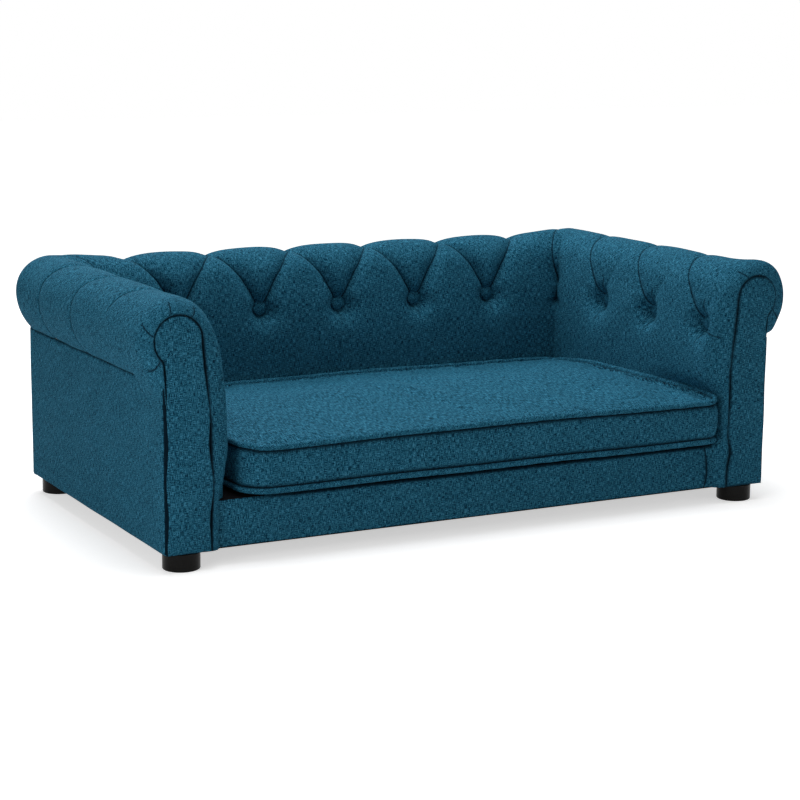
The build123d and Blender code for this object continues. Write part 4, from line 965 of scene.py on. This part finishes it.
def plan_spot(first, second, drawn=0.0, stuffed=0.0):
    """Place in the cushion's plan of a spot of the square from -1 to 1, drawn in by drawn metres.

    The outline's corners are rounded by moving what lies in the corner squares toward their middles, so
    that squares become quarter discs. The loose cushion is skewed: its front leans against the right arm,
    where its corner is tight and bulges, more by stuffed, and stands clear of the left one."""
    x, y = cushion_half_x * first, cushion_half_y * second
    corner = np.where((y < 0) & (x > 0), cushion_tight_corner, cushion_corner)
    over_x = np.maximum(np.abs(x) - (cushion_half_x - corner), 0)
    over_y = np.maximum(np.abs(y) - (cushion_half_y - corner), 0)
    pull = np.maximum(over_x, over_y) / np.maximum(np.hypot(over_x, over_y), 1e-9)
    both = (over_x > 0) & (over_y > 0)
    x = np.where(both, np.sign(x) * (cushion_half_x - corner + over_x * pull), x)
    y = np.where(both, np.sign(y) * (cushion_half_y - corner + over_y * pull), y)
    x = x + (cushion_skew + stuffed * (first > 0) * first**8) * smooth((-0.012 - y) / 0.16)
    return x * (1 - drawn / cushion_half_x), y * (1 - drawn / cushion_half_y) + cushion_mid_y


def seam_height(first, second, level, bow):
    """Height of a piped seam: it bows up a little toward the middle of each side. Where the right arm
    squeezes the cushion its top seam rides up, and a little too at the left front corner."""
    squeezed = 2.0 * bow * np.maximum(first, 0) ** 24 * smooth((second + 1.15) / 0.4)
    squeezed = squeezed * smooth((1 - second) / 0.6)
    turned_up = 0.8 * bow * np.maximum(-first, 0) ** 20 * smooth((-0.4 - second) / 0.5)
    bowed = bow * (1 - np.minimum(np.abs(first * second), 1) ** 1.5)
    return level + bowed + squeezed + turned_up + 0.0004 * np.sin(9 * first + 7 * second)


# The panels' squares crowd toward the seams. ring_x and ring_y run round the edge of the same square, from
# its left front corner to the right one and on, for the boxing and the piping.
beside_seam = np.array([0, 0.0018, 0.0040, 0.0070])
across_share = np.concatenate([-1 + beside_seam / cushion_half_x, np.linspace(-0.968, 0.968, 101),
                               1 - beside_seam[::-1] / cushion_half_x])
deep_share = np.concatenate([-1 + beside_seam / cushion_half_y, np.linspace(-0.945, 0.945, 57),
                             1 - beside_seam[::-1] / cushion_half_y])
square_x, square_y = np.meshgrid(across_share, deep_share)
plan_x, plan_y = plan_spot(square_x, square_y, seam_draw)
side_ones, long_ones = np.ones(len(deep_share) - 1), np.ones(len(across_share) - 1)
ring_x = np.concatenate([across_share, side_ones, across_share[::-1][1:], -side_ones])
ring_y = np.concatenate([[-1], -long_ones, deep_share[1:], long_ones, deep_share[::-1][1:]])
seam_x, seam_y = plan_spot(ring_x, ring_y, 0.0005)
seam_run = np.concatenate([[0], np.cumsum(np.hypot(np.diff(seam_x), np.diff(seam_y)))])
seam_low = seam_height(ring_x, ring_y, welt_low_z, low_bow)
seam_high = seam_height(ring_x, ring_y, welt_high_z, high_bow)
edge_share = np.maximum(np.abs(square_x), np.abs(square_y))
edge_gap = np.minimum((1 - np.abs(square_x)) * cushion_half_x, (1 - np.abs(square_y)) * cushion_half_y)
top_z = seam_height(square_x, square_y, welt_high_z, high_bow) + 0.004 * (1 - edge_share**8)
low_bulge = cushion_low_z + 0.0075 * edge_share**12
low_z = np.minimum(seam_height(square_x, square_y, welt_low_z, low_bow), low_bulge)
# Painted shade on the panels beside the piping.
panel_marks = {"crease": np.maximum(edge_gap - 0.0014, 0), "crease_shade_strength": 0.6 + 0 * edge_gap,
               "held": 1.0 * (edge_gap < 0.003)}

# The boxing is drawn in along both seams, bulges between them, and lies deeper behind the zip.
boxing_share = np.array([0, 0.022, 0.05, 0.085, 0.13, 0.18, 0.235, 0.275, 0.34, 0.41, 0.48, 0.55, 0.62, 0.685,
                         0.725, 0.77, 0.82, 0.87, 0.915, 0.95, 0.978, 1])[:, None]
boxing_z = seam_low + (seam_high - seam_low) * boxing_share
behind_zip = smooth((0.668 - np.abs(ring_x)) / 0.02) * (ring_y > 0.99)
zip_hollow = behind_zip * smooth((boxing_share - 0.235) / 0.04) * smooth((0.725 - boxing_share) / 0.04)
boxing_bulge = np.sin(math.pi * boxing_share)
seam_bells = bell(boxing_share, 0.085) + bell(1 - boxing_share, 0.085)
plain_drawn = seam_draw * seam_bells - 0.0018 * boxing_bulge
boxing_drawn = np.where(zip_hollow > 0, seam_draw * zip_hollow, plain_drawn)
boxing_drawn = boxing_drawn - 0.0005 * ripple(seam_run * 0.9, boxing_z) * boxing_bulge
boxing_drawn[[0, -1]] = seam_draw
boxing_x, boxing_y = plan_spot(ring_x, ring_y, boxing_drawn, 0.002 * boxing_bulge)
boxing_gap = np.minimum(boxing_share, 1 - boxing_share) * (welt_high_z - welt_low_z) + 0 * ring_x
# Painted shade on the boxing beside the piping.
boxing_marks = {"crease": 0.36 * np.maximum(boxing_gap - 0.0042, 0),
                "crease_shade_strength": 0.97 * (boxing_gap < 0.02), "held": 1 + 0 * boxing_gap}
# The panels are seen at a low angle, where the weave looks coarser, so theirs is drawn out a third larger.
coarse_weave = 0.75 * np.stack([plan_x, plan_y], axis=-1)
top_grid = grid(np.stack([plan_x, plan_y, top_z], axis=-1), coarse_weave, panel_marks)
low_grid = grid(np.stack([plan_x, plan_y, low_z], axis=-1), coarse_weave, panel_marks, True)
boxing_grid = grid(np.stack([boxing_x, boxing_y, boxing_z], axis=-1),
                   np.stack(np.broadcast_arrays(seam_run, boxing_z), axis=-1), boxing_marks)
cushion = new_piece("seat_cushion", sofa_linen, top_grid, low_grid, boxing_grid, weld=True)


def numbers(rows, key, width):
    """What a mesh's rows hold under key, as an array of width numbers a row."""
    values = np.empty(len(rows) * width, dtype=np.float32)
    rows.foreach_get(key, values)
    return values.reshape(-1, width).astype(float)


def blow_up(piece, pinned, pressure, slack, frames):
    """Runs Blender's cloth on a piece with its pinned points held, air pressing from inside and the cloth
    cut larger by slack, then gives back where its points came to rest."""
    group = piece.vertex_groups.new(name="held")
    group.add([int(i) for i in np.flatnonzero(pinned)], 1.0, "REPLACE")
    cloth = piece.modifiers.new("cloth", "CLOTH")
    cloth.settings.quality = 6
    cloth.settings.mass = 0.3
    cloth.settings.tension_stiffness = cloth.settings.compression_stiffness = 18
    cloth.settings.shear_stiffness = 8
    cloth.settings.bending_stiffness = 1.2
    cloth.settings.vertex_group_mass = "held"
    cloth.settings.use_pressure = True
    cloth.settings.uniform_pressure_force = pressure
    cloth.settings.shrink_min = -slack
    cloth.settings.effector_weights.gravity = 0
    cloth.point_cache.frame_end = frames
    for moment in range(1, frames + 1):
        scene.frame_set(moment)
    blown = piece.evaluated_get(bpy.context.evaluated_depsgraph_get()).to_mesh()
    places = numbers(blown.vertices, "co", 3)
    piece.modifiers.remove(cloth)
    piece.vertex_groups.remove(group)
    scene.frame_set(1)
    return places


held = numbers(cushion.data.attributes["held"].data, "value", 1)[:, 0]
rest = blow_up(cushion, held > 0.5, pressure=0.9, slack=0.012, frames=30)
from_seam = numbers(cushion.data.attributes["crease"].data, "value", 1)[:, 0]
corner_gap = np.hypot(np.abs(rest[:, 0] - cushion_skew) - 0.366, rest[:, 1] + 0.256)
beside_piping = 0.0032 * bell(from_seam - 0.0065, 0.006) + 0.003 * bell(corner_gap, 0.012)
swelled = np.where((held < 0.5) & (rest[:, 2] > crown_low_z), rest[:, 2] - crown_low_z, 0)
rest[:, 2] -= swelled * (1 - crown_rise / swelled.max())
rest[:, 2] -= beside_piping * (held < 0.5) * (rest[:, 2] > 0.13)
rest[:, 2] = np.clip(rest[:, 2], cushion_low_z, None)
cushion.data.vertices.foreach_set("co", rest.astype(np.float32).ravel())
cushion.data.update()
cushion.data.attributes.remove(cushion.data.attributes["held"])
dress(cushion, "cushion", "linen_fabric", "cushion_cover", "cushion_foam", fill=0.8)


# Piping: soft cord covered with a strip of the cloth that is cut on the bias, so that it bends round the
# corners without wrinkles. It is sewn into both seams of the cushion.
def welt(level_run, twist):
    """Tube along a cushion seam at the heights level_run: a circle swept round the plan outline, its radius
    wandering a little as sewn cord does. The cloth is cut on the bias, so its weave slants."""
    path = np.column_stack([seam_x, seam_y, level_run])
    ahead = np.roll(path[:-1], -1, axis=0) - np.roll(path[:-1], 1, axis=0)
    ahead = np.concatenate([ahead, ahead[:1]])
    ahead /= np.linalg.norm(ahead, axis=1)[:, None]
    outer = np.cross(ahead, (0.0, 0.0, 1.0))
    turn = np.linspace(0, 2 * math.pi, 21)
    wave = 0.0002 * (np.sin(seam_run * 151 + twist) + np.sin(seam_run * 141))
    radius = welt_radius + wave * np.sin(math.pi * seam_run / seam_run[-1])
    points = (path[None] + outer[None] * (np.cos(turn)[:, None] * radius)[..., None]
              + np.array((0, 0, 1.0)) * (np.sin(turn)[:, None] * radius)[..., None])
    cloth = np.stack(np.broadcast_arrays(seam_run[None, :], (turn * welt_radius)[:, None]), axis=-1)
    return grid(points, cloth, flip=True)


bias_linen = linen("teal_bias_linen", math.radians(45))
welts = (("cushion_welt_top", seam_high, 0.0), ("cushion_welt_bottom", seam_low, 2.0))
for welt_node, level_run, twist in welts:
    piping = new_piece(f"{welt_node}_piping", bias_linen, welt(level_run, twist), weld=True)
    dress(piping, "cushion", "piping_fabric", welt_node, fill=1.0)

# Zip in the rear boxing: two rows of nylon coil sewn to a woven tape, with a small cast slider and its
# pull, all in the cloth's own dark shade.
tape_cloth = toned("zip_tape_weave", 0.85, bands(220.0, 0.6), (0.1, (0.002, 0.012, 0.024)),
                   (0.8, (0.010, 0.045, 0.075)), bump=(0.5, 0.0003), Specular_IOR_Level=0.15)
finish_nodes(tape_cloth, "zip_tape")

coil_pitch, coil_wire = 0.0016, 0.00030
coil_low, coil_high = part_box("zip_chain")
coil_middle = (coil_low + coil_high) / 2
coil_count = int((coil_high.x - coil_low.x) / coil_pitch) - 1
coil_turn = np.linspace(0, 2 * math.pi, 10)[:, None]
wire_turn = np.linspace(0, 2 * math.pi, 6)[None, :]
coil_grids = []
for row in (-1, 1):
    # Each turn of the coil is a ring of wire that leans along the tape, taller than it is deep.
    ring_z = row * 0.0010 + (0.0019 - coil_wire + coil_wire * np.cos(wire_turn)) * np.cos(coil_turn)
    ring_deep = (0.0014 - coil_wire + coil_wire * np.cos(wire_turn)) * np.sin(coil_turn)
    ring_along = coil_wire * np.sin(wire_turn) + 0.0003 * np.sin(coil_turn)
    starts = coil_low.x + coil_pitch * (np.arange(coil_count) + (0.75 if row > 0 else 1.25))
    for_all = np.zeros((coil_count, 1, 1))
    rings = np.stack([starts[:, None, None] + ring_along[None], coil_middle.y + ring_deep[None] + for_all,
                      coil_middle.z + ring_z[None] + for_all], axis=-1)
    coil_grids += [grid(ring, flip=True) for ring in rings]
coil_nylon = toned("zip_coil_nylon", 0.4, grains(0.004, 0.004, 0.004), (0.3, (0.003, 0.018, 0.032)),
                   (0.7, (0.008, 0.038, 0.062)), Specular_IOR_Level=0.4)
zip_coils = new_piece("zip_coils", coil_nylon, *coil_grids, weld=True)
dress(zip_coils, "cushion", "zip_nylon", "zip_chain")

cast_metal = toned("dark_cast_metal", 0.42, grains(0.0015, 0.0015, 0.0015), (0.35, (0.020, 0.024, 0.028)),
                   (0.7, (0.055, 0.060, 0.066)), bump=(0.3, 0.0001), Metallic=0.6)
finish_nodes(cast_metal, "zip_slider", "zip_pull")

size = {"cad": [list(corner) for corner in cad_box], "visual": [list(corner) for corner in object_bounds()]}
